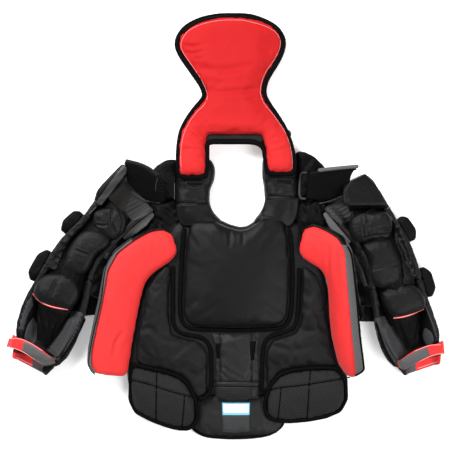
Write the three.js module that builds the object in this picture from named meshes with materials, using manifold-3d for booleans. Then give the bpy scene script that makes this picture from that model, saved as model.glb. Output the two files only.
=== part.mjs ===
// Goalie chest and arm protector, lying on its outer face with the padded inside up.
// Millimetres. +X to the wearer's right, +Y towards the neck, +Z up from the surface it lies on.
// The origin lies under the middle of the chest, on the flat outer face.

import * as THREE from "three";
import { mergeVertices } from "three/addons/utils/BufferGeometryUtils.js";
import Module from "manifold-3d";

const wasm = await Module();
wasm.setup();

// Driving sizes
const GAP = 0.4; // clearance between pieces that are sewn together
const LAID_GAP = 0.6; // clearance under a piece that lies on a swelling one
const BODY_THICK = 24; // outer foam of the torso
const LINER_BASE = BODY_THICK + GAP; // liners lie on the foam from this height up
const CHEST_THICK = 20;
const CHEST_CROWN = 8;
const SIDE_THICK = 12;
const SIDE_CROWN = 4;
const BELLY_THICK = 8;
const BELLY_CROWN = 3;
const PIPING_RADIUS = 4.3; // bound edges
const WING_THICK = 21;
const WING_CROWN = 4;
const GUSSET_THICK = 3; // grey side wall round the wings
const HIP_THICK = 13;
const HIP_CROWN = 3;
const HIP_RISE = 9; // how far a hip flap bends up over the edge of the foam
const TAIL_THICK = 12;
const TAIL_CROWN = 3;
const LABEL_THICK = 1.6;
const YOKE_BASE = 4;
const YOKE_THICK = 33;
const YOKE_CROWN = 1;
const FLAP_BASE = YOKE_BASE + YOKE_THICK + YOKE_CROWN + LAID_GAP; // legs lie on the yokes
const FLAP_THICK = 20;
const FLAP_CROWN = 5;
const FLAP_FOLD_Y = 330; // the flap slopes down from here
const FLAP_FLAT_Y = 560; // and lies on the surface from here on
const SHOULDER_BASE = 6;
const SHOULDER_THICK = 20;
const CAP_THICK = 7;
const PLATE_THICK = 10;
const ARM_FLOOR = 14; // foam under the arm
const ARM_WALL = 12; // foam beside the arm
const ARM_CORNER = 16; // bevel along the arm's underside
const SLEEVE_THICK = 3;
const SLEEVE_RISE = 24; // height of the sleeve's arch over its springing
const SLEEVE_DROP = 14; // springing below the top of the wall
const SLEEVE_CLEAR = 1.6; // room between the edge of the sleeve and the wall
const ARM_PAD_THICK = 9;
const ARM_PAD_CROWN = 3;
const ARM_PAD_LIFT = 1.6; // clearance between a pad and the sleeve under it
const STRAP_THICK = 4;
const CUFF_WALL = 5;
const TAB_THICK = 13;
const ARMPIT_THICK = 7;

// Materials
const cloth = (color, roughness) => new THREE.MeshStandardMaterial({ color, roughness, metalness: 0 });
const BLACK = cloth(0x1f1d1f, 0.7);
const LINING = cloth(0x29272a, 0.6);
const KNIT = cloth(0x55534f, 0.9);
const GREY = cloth(0x6b6a6c, 0.85);
const RED = cloth(0xee2b30, 0.65);
const TAG = cloth(0xd7e8ec, 0.5);

// Section of a pad from one edge (across 0) to the other (1): depth is a share of the thickness,
// crown a share of the pad's swelling.
const PAD = [
  { across: 0.03, depth: 0, crown: 0 },
  { across: 0.25, depth: 0, crown: 0 },
  { across: 0.5, depth: 0, crown: 0 },
  { across: 0.75, depth: 0, crown: 0 },
  { across: 0.97, depth: 0, crown: 0 },
  { across: 1, depth: 0.5, crown: 0 },
  { across: 0.95, depth: 0.9, crown: 0.1 },
  { across: 0.75, depth: 1, crown: 0.75 },
  { across: 0.5, depth: 1, crown: 1 },
  { across: 0.25, depth: 1, crown: 0.75 },
  { across: 0.05, depth: 0.9, crown: 0.1 },
  { across: 0, depth: 0.5, crown: 0 },
];

// Section of a foam slab with blunt edges.
const SLAB = [
  { across: 0.01, depth: 0, crown: 0 },
  { across: 0.5, depth: 0, crown: 0 },
  { across: 0.99, depth: 0, crown: 0 },
  { across: 1, depth: 0.2, crown: 0 },
  { across: 1, depth: 0.8, crown: 0 },
  { across: 0.99, depth: 1, crown: 0 },
  { across: 0.5, depth: 1, crown: 0 },
  { across: 0.01, depth: 1, crown: 0 },
  { across: 0, depth: 0.8, crown: 0 },
  { across: 0, depth: 0.2, crown: 0 },
];

// Section of a plain sheet or strap.
const SHEET = [
  { across: 0, depth: 0, crown: 0 },
  { across: 0.5, depth: 0, crown: 0 },
  { across: 1, depth: 0, crown: 0 },
  { across: 1, depth: 1, crown: 0 },
  { across: 0.5, depth: 1, crown: 1 },
  { across: 0, depth: 1, crown: 0 },
];

// Section of a plain wall.
const WALL = [
  { across: 0, depth: 0, crown: 0 },
  { across: 1, depth: 0, crown: 0 },
  { across: 1, depth: 1, crown: 0 },
  { across: 0, depth: 1, crown: 0 },
];

const point = (x, y, z = 0) => new THREE.Vector3(x, y, z);
const UP = point(0, 0, 1);
const hump = (across) => 1 - (2 * across - 1) ** 2;

// Moves the corners of a closed outline outwards.
function grown(outline, distance) {
  const count = outline.length;
  const turn = Math.sign(THREE.ShapeUtils.area(outline));
  return outline.map((corner, i) => {
    const into = corner.clone().sub(outline[(i + count - 1) % count]).normalize();
    const onward = outline[(i + 1) % count].clone().sub(corner).normalize();
    const normal = new THREE.Vector2(into.y + onward.y, -into.x - onward.x).normalize();
    const spread = Math.max(0.5, normal.x * into.y - normal.y * into.x);
    return corner.clone().addScaledVector(normal, (turn * distance) / spread);
  });
}

// A closed mesh with its faces turned outwards.
function closedMesh(vertices, triangles) {
  let volume = 0;
  for (let i = 0; i < triangles.length; i += 3) {
    const [a, b, c] = triangles.slice(i, i + 3).map((k) => vertices[k]);
    volume += a.dot(b.clone().cross(c));
  }
  const facing = volume < 0 ? triangles.slice().reverse() : triangles;
  const geometry = new THREE.BufferGeometry().setFromPoints(vertices);
  geometry.setIndex(facing);
  return geometry;
}

// Faces of a band-shaped outline, laddered from its first edge to the far end by the shorter rung.
function ladder(outline) {
  const faces = [];
  let low = 0;
  let high = outline.length - 1;
  while (high - low > 1) {
    const forward = outline[low + 1].distanceTo(outline[high]);
    const backward = outline[low].distanceTo(outline[high - 1]);
    if (forward <= backward) {
      faces.push([low, low + 1, high]);
      low += 1;
    } else {
      faces.push([low, high - 1, high]);
      high -= 1;
    }
  }
  return faces;
}

// Skins sections that each hold a place, two directions and a closed outline.
function loft(sections, ring = false) {
  const corners = sections[0].outline.length;
  const vertices = sections.flatMap(({ at, across, up, outline, shift }) =>
    outline.map((corner, j) => {
      const vertex = at.clone().addScaledVector(across, corner.x).addScaledVector(up, corner.y);
      return shift ? vertex.add(shift(j)) : vertex;
    }),
  );
  const triangles = [];
  const spans = ring ? sections.length : sections.length - 1;
  for (let i = 0; i < spans; i++) {
    const here = i * corners;
    const next = ((i + 1) % sections.length) * corners;
    for (let j = 0; j < corners; j++) {
      const k = (j + 1) % corners;
      triangles.push(here + j, here + k, next + k, here + j, next + k, next + j);
    }
  }
  if (ring) return closedMesh(vertices, triangles);
  const last = (sections.length - 1) * corners;
  for (const [a, b, c] of ladder(sections[0].outline)) triangles.push(c, b, a);
  for (const face of ladder(sections.at(-1).outline)) triangles.push(...face.map((k) => k + last));
  return closedMesh(vertices, triangles);
}

// Directions along a run of places, one for each place.
function headings(places) {
  return places.map((_, i) => {
    const before = places[Math.max(0, i - 1)];
    const after = places[Math.min(places.length - 1, i + 1)];
    return after.clone().sub(before).normalize();
  });
}

// A pad between two edges. Each row gives edge points a and b, and may give its own share of the
// thickness (full), a dip of its middle along Y (bow) or a bend of its middle upwards (rise).
// The faces of the rows are its underside, or with hang its upper side.
function pad(rows, { thick, crown = 0, section = PAD, grow = 0, hang = false }) {
  const along = headings(rows.map(({ a, b }) => a.clone().add(b).multiplyScalar(0.5)));
  const sections = rows.map(({ a, b, full = 1, bow = 0, rise = 0 }, i) => {
    const width = a.distanceTo(b);
    const across = b.clone().sub(a).divideScalar(width);
    const up = along[i].clone().cross(across).normalize();
    up.multiplyScalar(Math.sign(up.z) || 1);
    const flat = section.map((corner) => {
      const height = full * (corner.depth * thick + corner.crown * crown) + rise * hump(corner.across);
      return new THREE.Vector2(corner.across * width, height);
    });
    const end = i === 0 ? -grow : i === rows.length - 1 ? grow : 0;
    const at = a.clone().addScaledVector(along[i], end);
    if (hang) at.addScaledVector(up, -full * thick);
    const outline = grow ? grown(flat, grow) : flat;
    const shift = (j) => point(0, bow * hump(section[j].across), 0);
    return { at, across, up, outline, shift };
  });
  return loft(sections);
}

// Rows of a pad that lies level: y, left and right edge, and base height.
const level = (rows, base) =>
  rows.map(({ y, left, right, ...rest }) => ({
    a: point(left, y, base),
    b: point(right, y, base),
    ...rest,
  }));

// A round tube along places, open with flat ends or closed into a ring.
function tube(places, { radius, sides = 6, ring = false, grow = 0 }) {
  const count = places.length;
  const along = ring
    ? places.map((_, i) => places[(i + 1) % count].clone().sub(places[(i + count - 1) % count]).normalize())
    : headings(places);
  const outline = Array.from({ length: sides }, (_, k) => {
    const angle = (2 * Math.PI * k) / sides;
    return new THREE.Vector2(Math.cos(angle), Math.sin(angle)).multiplyScalar(radius + grow);
  });
  const sections = places.map((place, i) => {
    const across = along[i].clone().cross(UP).normalize();
    const up = across.clone().cross(along[i]);
    const end = ring || (i > 0 && i < count - 1) ? 0 : i === 0 ? -grow : grow;
    return { at: place.clone().addScaledVector(along[i], end), across, up, outline };
  });
  return loft(sections, ring);
}

const solidOf = (geometry) => {
  const bare = new THREE.BufferGeometry().setAttribute("position", geometry.getAttribute("position"));
  bare.setIndex(geometry.index);
  const merged = mergeVertices(bare, 1e-3);
  const vertProperties = new Float32Array(merged.getAttribute("position").array);
  const triVerts = new Uint32Array(merged.index.array);
  return new wasm.Manifold(new wasm.Mesh({ numProp: 3, vertProperties, triVerts }));
};

// The largest body of a cut or joined solid, as a geometry.
function geometryOf(solid) {
  const [body] = solid.decompose().sort((one, other) => other.volume() - one.volume());
  const { vertProperties, triVerts } = body.getMesh();
  const geometry = new THREE.BufferGeometry();
  geometry.setAttribute("position", new THREE.BufferAttribute(vertProperties, 3));
  geometry.setIndex(new THREE.BufferAttribute(triVerts, 1));
  return geometry;
}

const cut = (geometry, ...tools) =>
  geometryOf(tools.reduce((solid, tool) => solid.subtract(solidOf(tool)), solidOf(geometry)));
const join = (...geometries) => geometryOf(geometries.map(solidOf).reduce((one, other) => one.add(other)));

const protector = new THREE.Group();

function add(name, geometry, material) {
  const mesh = new THREE.Mesh(geometry, material);
  mesh.name = name;
  mesh.geometry.computeVertexNormals();
  protector.add(mesh);
}

// Torso: the outer foam that everything is sewn to, flat on the surface
const TORSO = [
  { y: 168, left: -134, right: 132, bow: -4 },
  { y: 120, left: -158, right: 150 },
  { y: 90, left: -182, right: 176 },
  { y: 20, left: -210, right: 194 },
  { y: -60, left: -222, right: 206 },
  { y: -130, left: -230, right: 218 },
  { y: -190, left: -224, right: 226 },
  { y: -205, left: -208, right: 210 },
];
const torso = (grow = 0) => pad(level(TORSO, 0), { thick: BODY_THICK, section: SLAB, grow });
add("torso_panel", torso(), BLACK);

// Chest pad with a dip under the neck
const CHEST = [
  { y: 166, left: -104, right: 100, bow: -14, full: 0.5 },
  { y: 156, left: -110, right: 106, bow: -12 },
  { y: 120, left: -116, right: 112, bow: -4 },
  { y: 60, left: -119, right: 114 },
  { y: 0, left: -122, right: 113 },
  { y: -35, left: -121, right: 110 },
  { y: -50, left: -113, right: 101 },
  { y: -57, left: -96, right: 84, full: 0.5 },
];
add("chest_pad", pad(level(CHEST, LINER_BASE), { thick: CHEST_THICK, crown: CHEST_CROWN }), LINING);

const PIPING_Z = LINER_BASE + PIPING_RADIUS;
const CHEST_PIPING = [
  { x: -118, y: 163 },
  { x: -122, y: 120 },
  { x: -125, y: 60 },
  { x: -128, y: 0 },
  { x: -127, y: -38 },
  { x: -117, y: -58 },
  { x: -96, y: -64 },
  { x: 0, y: -66 },
  { x: 84, y: -64 },
  { x: 106, y: -57 },
  { x: 116, y: -38 },
  { x: 119, y: 0 },
  { x: 120, y: 60 },
  { x: 118, y: 120 },
  { x: 112, y: 163 },
];
const onLiner = ({ x, y }) => point(x, y, PIPING_Z);
add("chest_binding", tube(CHEST_PIPING.map(onLiner), { radius: PIPING_RADIUS }), BLACK);

// Belly: the sunk middle strip
const BELLY = [
  { y: -73, left: -60, right: 52, full: 0.6 },
  { y: -84, left: -58, right: 50 },
  { y: -104, left: -53, right: 47 },
  { y: -150, left: -52, right: 47 },
  { y: -205, left: -52, right: 47 },
  { y: -219, left: -50, right: 45, full: 0.6 },
];
add("belly_center", pad(level(BELLY, LINER_BASE), { thick: BELLY_THICK, crown: BELLY_CROWN }), LINING);

// Hip flaps: rows run from the outer end inwards, each from the upper edge (top) to the lower (hem)
const HIPS = {
  left: [
    { topX: -229, topY: -147, hemX: -231, hemY: -220, hemZ: 10, full: 0.6 },
    { topX: -216, topY: -150, hemX: -220, hemY: -242, hemZ: 8 },
    { topX: -189, topY: -156, hemX: -189, hemY: -258, hemZ: 8 },
    { topX: -158, topY: -163, hemX: -158, hemY: -270, hemZ: 8 },
    { topX: -132, topY: -172, hemX: -132, hemY: -277, hemZ: 10 },
    { topX: -114, topY: -187, hemX: -110, hemY: -277, hemZ: 17.5 },
    { topX: -102, topY: -211, hemX: -100, hemY: -268, hemZ: 18 },
    { topX: -97, topY: -230, hemX: -96, hemY: -254, hemZ: 18, full: 0.6 },
  ],
  right: [
    { topX: 230, topY: -176, hemX: 232, hemY: -217, hemZ: 10, full: 0.6 },
    { topX: 216, topY: -156, hemX: 220, hemY: -239, hemZ: 8 },
    { topX: 191, topY: -153, hemX: 191, hemY: -251, hemZ: 8 },
    { topX: 154, topY: -155, hemX: 154, hemY: -258, hemZ: 8 },
    { topX: 119, topY: -159, hemX: 114, hemY: -261, hemZ: 14 },
    { topX: 93, topY: -168, hemX: 86, hemY: -260, hemZ: 17.5 },
    { topX: 76, topY: -191, hemX: 70, hemY: -253, hemZ: 18 },
    { topX: 67, topY: -214, hemX: 65, hemY: -238, hemZ: 18, full: 0.6 },
  ],
};

// Side and belly liners with their piping
const SIDES = {
  left: [
    { y: 78, left: -156, right: -149, full: 0.6 },
    { y: 58, left: -178, right: -149 },
    { y: 20, left: -201, right: -150 },
    { y: -20, left: -209, right: -150 },
    { y: -56, left: -216, right: -149 },
    { y: -76, left: -220, right: -142 },
    { y: -86, left: -222, right: -112 },
    { y: -91, left: -223, right: -86 },
    { y: -103, left: -225, right: -71 },
    { y: -120, left: -223, right: -65 },
    { y: -200, left: -222, right: -66 },
    { y: -211, left: -216, right: -80 },
    { y: -217, left: -200, right: -98, full: 0.6 },
  ],
  right: [
    { y: 72, left: 141, right: 150, full: 0.6 },
    { y: 56, left: 141, right: 172 },
    { y: 20, left: 140, right: 186 },
    { y: -20, left: 139, right: 192 },
    { y: -52, left: 136, right: 198 },
    { y: -72, left: 128, right: 203 },
    { y: -82, left: 100, right: 206 },
    { y: -87, left: 77, right: 208 },
    { y: -101, left: 65, right: 211 },
    { y: -120, left: 60, right: 216 },
    { y: -195, left: 60, right: 225 },
    { y: -208, left: 66, right: 220 },
    { y: -214, left: 80, right: 205, full: 0.6 },
  ],
};
const SIDE_PIPING = {
  left: [
    { x: -142, y: 75 },
    { x: -143, y: 20 },
    { x: -143, y: -50 },
    { x: -134, y: -70 },
    { x: -112, y: -77 },
    { x: -84, y: -80 },
    { x: -69, y: -88 },
    { x: -60, y: -104 },
    { x: -58, y: -150 },
    { x: -59, y: -196 },
    { x: -68, y: -213 },
    { x: -84, y: -221 },
  ],
  right: [
    { x: 135, y: 72 },
    { x: 134, y: 20 },
    { x: 130, y: -46 },
    { x: 122, y: -64 },
    { x: 100, y: -72 },
    { x: 76, y: -77 },
    { x: 62, y: -86 },
    { x: 55, y: -104 },
    { x: 53, y: -150 },
    { x: 52, y: -203 },
  ],
};

// Closed run of places just outside an outline, for a bound edge.
function bindingRun(outline, radius, height) {
  const flat = outline.map(({ x, y }) => new THREE.Vector2(x, y));
  return grown(flat, radius + 3 * GAP).map(({ x, y }, i) => point(x, y, height(outline[i], y)));
}

const hipEdges = (rows) =>
  rows.map(({ topX, topY, hemX, hemY, hemZ, full }) => ({
    a: point(topX, topY, LINER_BASE),
    b: point(hemX, hemY, hemZ),
    rise: HIP_RISE,
    full,
  }));
const hipFlap = (rows) => pad(hipEdges(rows), { thick: HIP_THICK, crown: HIP_CROWN });

const hipOutline = (rows) => [
  ...rows.map(({ topX, topY }) => ({ x: topX, y: topY, z: LINER_BASE })),
  ...rows.map(({ hemX, hemY, hemZ }) => ({ x: hemX, y: hemY, z: hemZ })).reverse(),
];

// All the height over a hip flap and its bound edge, to take out of the liner.
function hipRoom(rows) {
  const flat = hipOutline(rows).map(({ x, y }) => new THREE.Vector2(x, y));
  const shape = new THREE.Shape(grown(flat, 2 * PIPING_RADIUS + 4 * GAP));
  return new THREE.ExtrudeGeometry(shape, { depth: 3 * LINER_BASE, bevelEnabled: false });
}

function hipBinding(rows) {
  const places = bindingRun(hipOutline(rows), PIPING_RADIUS, ({ z }) => z + HIP_THICK / 2);
  return tube(places, { radius: PIPING_RADIUS, ring: true });
}

for (const side of ["left", "right"]) {
  const rows = HIPS[side];
  const liner = pad(level(SIDES[side], LINER_BASE), { thick: SIDE_THICK, crown: SIDE_CROWN });
  add(`side_panel_${side}`, cut(liner, hipRoom(rows)), LINING);
  add(`panel_binding_${side}`, tube(SIDE_PIPING[side].map(onLiner), { radius: PIPING_RADIUS }), BLACK);
  add(`hip_flap_${side}`, hipFlap(rows), KNIT);
  add(`hip_binding_${side}`, hipBinding(rows), BLACK);
}

// Tail flap at the hem, with a sewn tag
const TAIL = [
  { y: -205.6, left: -80, right: 80 },
  { y: -240, left: -96, right: 98 },
  { y: -276, left: -102, right: 103 },
  { y: -290, left: -94, right: 90 },
  { y: -300, left: -66, right: 56, full: 0.5 },
];
add("tail_flap", pad(level(TAIL, 0), { thick: TAIL_THICK, crown: TAIL_CROWN }), BLACK);
const LABEL = [
  { y: -226, left: -35, right: 26 },
  { y: -280, left: -35, right: 27 },
  { y: -288, left: -28, right: 21 },
];
const LABEL_BASE = TAIL_THICK + TAIL_CROWN + GAP;
add("label", pad(level(LABEL, LABEL_BASE), { thick: LABEL_THICK, section: SHEET }), TAG);

// Rib wings: rows from the tip by the chest down to the waist, inner and outer edge of the red face
const WING_FACE = LINER_BASE + WING_THICK;
const WINGS = {
  left: [
    { inX: -134, inY: 106, inZ: WING_FACE, outX: -146, outY: 144, outZ: 46, full: 0.7 },
    { inX: -149, inY: 86, inZ: WING_FACE, outX: -164, outY: 155, outZ: 48 },
    { inX: -172, inY: 70, inZ: WING_FACE, outX: -194, outY: 150, outZ: 54 },
    { inX: -191, inY: 55, inZ: WING_FACE, outX: -229, outY: 130, outZ: 62 },
    { inX: -205, inY: 33, inZ: WING_FACE, outX: -264, outY: 103, outZ: 68 },
    { inX: -213, inY: 0, inZ: WING_FACE, outX: -284, outY: 66, outZ: 72 },
    { inX: -220, inY: -37, inZ: WING_FACE, outX: -295, outY: 0, outZ: 74 },
    { inX: -229, inY: -84, inZ: WING_FACE, outX: -308, outY: -57, outZ: 74 },
    { inX: -235, inY: -125, inZ: WING_FACE, outX: -318, outY: -106, outZ: 74 },
    { inX: -240, inY: -156, inZ: WING_FACE, outX: -320, outY: -140, outZ: 73 },
    { inX: -246, inY: -166, inZ: WING_FACE, outX: -307, outY: -158, outZ: 71, full: 0.7 },
  ],
  right: [
    { inX: 134, inY: 108, inZ: 44.9, outX: 145, outY: 154, outZ: 47, full: 0.7 },
    { inX: 143, inY: 91, inZ: 44.9, outX: 163, outY: 164, outZ: 52 },
    { inX: 165, inY: 77, inZ: 44.7, outX: 191, outY: 152, outZ: 62 },
    { inX: 183, inY: 64, inZ: 44, outX: 216, outY: 136, outZ: 78 },
    { inX: 191, inY: 44, inZ: 42, outX: 231, outY: 108, outZ: 92 },
    { inX: 198, inY: 9, inZ: 39, outX: 235, outY: 48, outZ: 105 },
    { inX: 203, inY: -29, inZ: 37, outX: 240, outY: -11, outZ: 112 },
    { inX: 213, inY: -77, inZ: 36, outX: 246, outY: -77, outZ: 114 },
    { inX: 224, inY: -121, inZ: 36, outX: 251, outY: -123, outZ: 112 },
    { inX: 235, inY: -154, inZ: 38, outX: 254, outY: -156, outZ: 105 },
    { inX: 241, inY: -165, inZ: 44, outX: 252, outY: -167, outZ: 94, full: 0.7 },
  ],
};

// The strip beyond the outer edge of the wing's rows.
function gussetRows(edges) {
  return edges.map(({ a, b, full }) => {
    const across = b.clone().sub(a).normalize();
    const from = b.clone().addScaledVector(across, 3 * GAP);
    return { a: from, b: from.clone().addScaledVector(across, GUSSET_THICK), full };
  });
}

for (const side of ["left", "right"]) {
  const edges = WINGS[side].map(({ inX, inY, inZ, outX, outY, outZ, full }) => ({
    a: point(inX, inY, inZ),
    b: point(outX, outY, outZ),
    full,
  }));
  add(`wing_${side}`, pad(edges, { thick: WING_THICK, crown: WING_CROWN, hang: true }), RED);
  const gusset = pad(gussetRows(edges), { thick: WING_THICK, section: WALL, hang: true });
  add(`wing_gusset_${side}`, gusset, GREY);
}

// Back flap: a waisted head and two legs that lie on the yokes, with the neck between them
const FLAP_HEAD = [
  { y: 621, left: -40, right: 22, full: 0.5 },
  { y: 614, left: -78, right: 46 },
  { y: 600, left: -110, right: 78 },
  { y: 580, left: -126, right: 93 },
  { y: 562, left: -131, right: 96 },
  { y: 540, left: -121, right: 89 },
  { y: 517, left: -104, right: 76 },
  { y: 495, left: -89, right: 61 },
  { y: 473, left: -73, right: 52 },
  { y: 452, left: -67, right: 51 },
  { y: 438, left: -71, right: 56 },
  { y: 422, left: -86, right: 66 },
  { y: 400, left: -103, right: 82 },
  { y: 378, left: -115, right: 95 },
  { y: 366, left: -120, right: 101 },
];
const FLAP_LEGS = {
  left: [
    { y: 384, left: -106, right: -70 },
    { y: 366, left: -120, right: -72 },
    { y: 341, left: -124, right: -74 },
    { y: 312, left: -126, right: -74 },
    { y: 292, left: -123, right: -75 },
    { y: 284, left: -115, right: -80, full: 0.5 },
  ],
  right: [
    { y: 384, left: 54, right: 86 },
    { y: 366, left: 56, right: 101 },
    { y: 341, left: 62, right: 110 },
    { y: 312, left: 68, right: 117 },
    { y: 298, left: 70, right: 118 },
    { y: 290, left: 76, right: 112, full: 0.5 },
  ],
};
// Band along the top of the neck opening: its corners, its run into the legs and its height
const COLLAR = { left: -68, right: 50, chamfer: 12, tuck: 8, top: 365, bottom: 353, base: 30, thick: 12 };

// Height of the flap's underside: on the yokes at its legs, on the surface at its head.
function flapBase(y) {
  const share = (FLAP_FLAT_Y - y) / (FLAP_FLAT_Y - FLAP_FOLD_Y);
  return FLAP_BASE * THREE.MathUtils.clamp(share, 0, 1);
}
const flapRows = (rows) =>
  rows.map(({ y, left, right, full }) => ({
    a: point(left, y, flapBase(y)),
    b: point(right, y, flapBase(y)),
    full,
  }));
const flapPad = (rows, grow = 0) => pad(flapRows(rows), { thick: FLAP_THICK, crown: FLAP_CROWN, grow });
const FLAP_PARTS = [FLAP_HEAD, FLAP_LEGS.left, FLAP_LEGS.right];
const flap = (grow = 0) => join(...FLAP_PARTS.map((rows) => flapPad(rows, grow)));
add("back_flap", flap(), RED);

const leftEdge = (rows) => rows.map(({ y, left }) => ({ x: left, y }));
const rightEdge = (rows) => rows.map(({ y, right }) => ({ x: right, y }));
const below = ({ y }) => y < COLLAR.bottom;
const FLAP_OUTLINE = [
  ...leftEdge(FLAP_HEAD),
  ...leftEdge(FLAP_LEGS.left).filter(below),
  ...rightEdge(FLAP_LEGS.left).filter(below).reverse(),
  { x: COLLAR.left, y: COLLAR.bottom },
  { x: COLLAR.right - COLLAR.chamfer, y: COLLAR.bottom },
  ...leftEdge(FLAP_LEGS.right).filter(below),
  ...rightEdge(FLAP_LEGS.right).filter(below).reverse(),
  ...rightEdge(FLAP_HEAD).reverse(),
];
const FLAP_EDGE = 0.45 * FLAP_THICK; // height of the bound edge over the underside
const flapBindingRun = bindingRun(FLAP_OUTLINE, PIPING_RADIUS, (_, y) => flapBase(y) + FLAP_EDGE);
const flapBinding = (grow) => tube(flapBindingRun, { radius: PIPING_RADIUS, ring: true, grow });
add("flap_binding", flapBinding(0), BLACK);
const band = pad(
  [COLLAR.left - COLLAR.tuck, COLLAR.right + COLLAR.tuck].map((x) => ({
    a: point(x, COLLAR.top, COLLAR.base),
    b: point(x, COLLAR.bottom, COLLAR.base),
  })),
  { thick: COLLAR.thick },
);
add("collar_band", cut(band, flap(GAP), flapBinding(GAP)), KNIT);

// Yokes over the shoulders, shoulder panels beside them and webs under the arms
const YOKES = {
  left: [
    { y: 310, left: -128, right: -60, full: 0.8 },
    { y: 290, left: -133, right: -50 },
    { y: 264, left: -136, right: -52 },
    { y: 242, left: -138, right: -62 },
    { y: 213, left: -138, right: -63 },
    { y: 194, left: -133, right: -56 },
    { y: 178, left: -128, right: -40 },
    { y: 167.9, left: -122, right: -30 },
  ],
  right: [
    { y: 328, left: 66, right: 126, full: 0.8 },
    { y: 308, left: 54, right: 130 },
    { y: 275, left: 53, right: 130 },
    { y: 242, left: 58, right: 131 },
    { y: 216, left: 60, right: 131 },
    { y: 194, left: 51, right: 127 },
    { y: 178, left: 38, right: 122 },
    { y: 167.9, left: 30, right: 116 },
  ],
};
const SHOULDERS = {
  left: [
    { y: 308, left: -156, right: -126 },
    { y: 296, left: -178, right: -128 },
    { y: 282, left: -190, right: -130 },
    { y: 253, left: -194, right: -133 },
    { y: 222, left: -178, right: -134 },
  ],
  right: [
    { y: 326, left: 122, right: 143 },
    { y: 316, left: 124, right: 166 },
    { y: 297, left: 126, right: 188 },
    { y: 280, left: 126, right: 198 },
    { y: 253, left: 127, right: 202 },
    { y: 226, left: 127, right: 176 },
  ],
};
const UNDERARMS = {
  left: [
    { armX: -186, armY: 222, bodyX: -128, bodyY: 216 },
    { armX: -198, armY: 200, bodyX: -124, bodyY: 178 },
    { armX: -226, armY: 176, bodyX: -140, bodyY: 140 },
    { armX: -264, armY: 138, bodyX: -190, bodyY: 104 },
    { armX: -290, armY: 96, bodyX: -205, bodyY: 70 },
    { armX: -306, armY: 66, bodyX: -210, bodyY: 52 },
  ],
  right: [
    { armX: 188, armY: 220, bodyX: 122, bodyY: 214 },
    { armX: 200, armY: 202, bodyX: 118, bodyY: 178 },
    { armX: 226, armY: 178, bodyX: 135, bodyY: 142 },
    { armX: 262, armY: 138, bodyX: 188, bodyY: 106 },
    { armX: 282, armY: 106, bodyX: 198, bodyY: 92 },
  ],
};
const yoke = (side, grow = 0) =>
  pad(level(YOKES[side], YOKE_BASE), { thick: YOKE_THICK, crown: YOKE_CROWN, grow });

// Arms: the run of the arm from the shoulder (station 0) to the wrist (station 9), with half widths
const ARM_RUN = {
  left: [
    { x: -220, y: 238, half: 54 },
    { x: -262, y: 202, half: 52 },
    { x: -300, y: 157, half: 47 },
    { x: -339, y: 115, half: 48 },
    { x: -365, y: 74, half: 54 },
    { x: -385, y: 22, half: 62 },
    { x: -407, y: -31, half: 69 },
    { x: -429, y: -93, half: 64 },
    { x: -446, y: -121, half: 51 },
    { x: -459, y: -146, half: 42 },
  ],
  right: [
    { x: 240, y: 234, half: 62 },
    { x: 273, y: 189, half: 58 },
    { x: 300, y: 150, half: 54 },
    { x: 326, y: 106, half: 54 },
    { x: 343, y: 48, half: 57 },
    { x: 354, y: -2, half: 60 },
    { x: 367, y: -55, half: 66 },
    { x: 383, y: -101, half: 64 },
    { x: 397, y: -129, half: 51 },
    { x: 405, y: -153, half: 41 },
  ],
};
// Height of the arm's side walls, and how far their inner faces slope, at each station
const ARM_WALLS = [
  { top: 44, slope: 10 },
  { top: 56, slope: 10 },
  { top: 60, slope: 10 },
  { top: 62, slope: 10 },
  { top: 63, slope: 12 },
  { top: 60, slope: 18 },
  { top: 54, slope: 32 },
  { top: 44, slope: 30 },
  { top: 34, slope: 14 },
  { top: 28, slope: 8 },
];
const STATIONS = ARM_WALLS.length - 1;
const ELBOW = 4.25; // station where the upper arm ends and the forearm starts
const WRIST = 8.05; // station where the forearm ends and the cuff starts
const STATION_GAP = 0.02; // clearance between two lengths of the arm, in stations
const STATION_LENGTH = 20; // spacing of the stations on the curve of the walls
const curveOf = (places) => new THREE.CatmullRomCurve3(places, false, "centripetal");
const wallCurve = curveOf(ARM_WALLS.map(({ top, slope }, i) => point(i * STATION_LENGTH, top, slope)));
const runCurves = {
  left: curveOf(ARM_RUN.left.map(({ x, y, half }) => point(x, y, half))),
  right: curveOf(ARM_RUN.right.map(({ x, y, half }) => point(x, y, half))),
};

// The arm at a station: its middle, the direction towards the body, half width and walls.
function armAt(side, station) {
  const share = station / STATIONS;
  const { x, y, z: half } = runCurves[side].getPoint(share);
  const ahead = runCurves[side].getTangent(share).setZ(0).normalize();
  const inward = ahead.clone().cross(UP).multiplyScalar(side === "left" ? -1 : 1);
  const { y: top, z: slope } = wallCurve.getPoint(share);
  return { at: point(x, y), ahead, inward, half, top, slope };
}

const stationsBetween = (from, to, step) => {
  const count = Math.max(2, Math.round((to - from) / step) + 1);
  return Array.from({ length: count }, (_, i) => from + ((to - from) * i) / (count - 1));
};

// A channel open upwards, with bevelled underside.
function channel(side, from, to, { floor, wall, step = 0.5, grow = 0 }) {
  const stations = stationsBetween(from, to, step);
  const sections = stations.map((station, i) => {
    const { at, ahead, inward, half, top, slope } = armAt(side, station);
    const inner = half - wall;
    const bevel = Math.min(ARM_CORNER, top / 2);
    const flat = [
      [-half, top],
      [-half, bevel],
      [-half + bevel, 0],
      [half - bevel, 0],
      [half, bevel],
      [half, top],
      [inner, top],
      [inner - slope, floor],
      [slope - inner, floor],
      [-inner, top],
    ].map(([x, y]) => new THREE.Vector2(x, y));
    const end = i === 0 ? -grow : i === stations.length - 1 ? grow : 0;
    const outline = grow ? grown(flat, grow) : flat;
    return { at: at.addScaledVector(ahead, end), across: inward, up: UP, outline };
  });
  return loft(sections);
}

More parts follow.
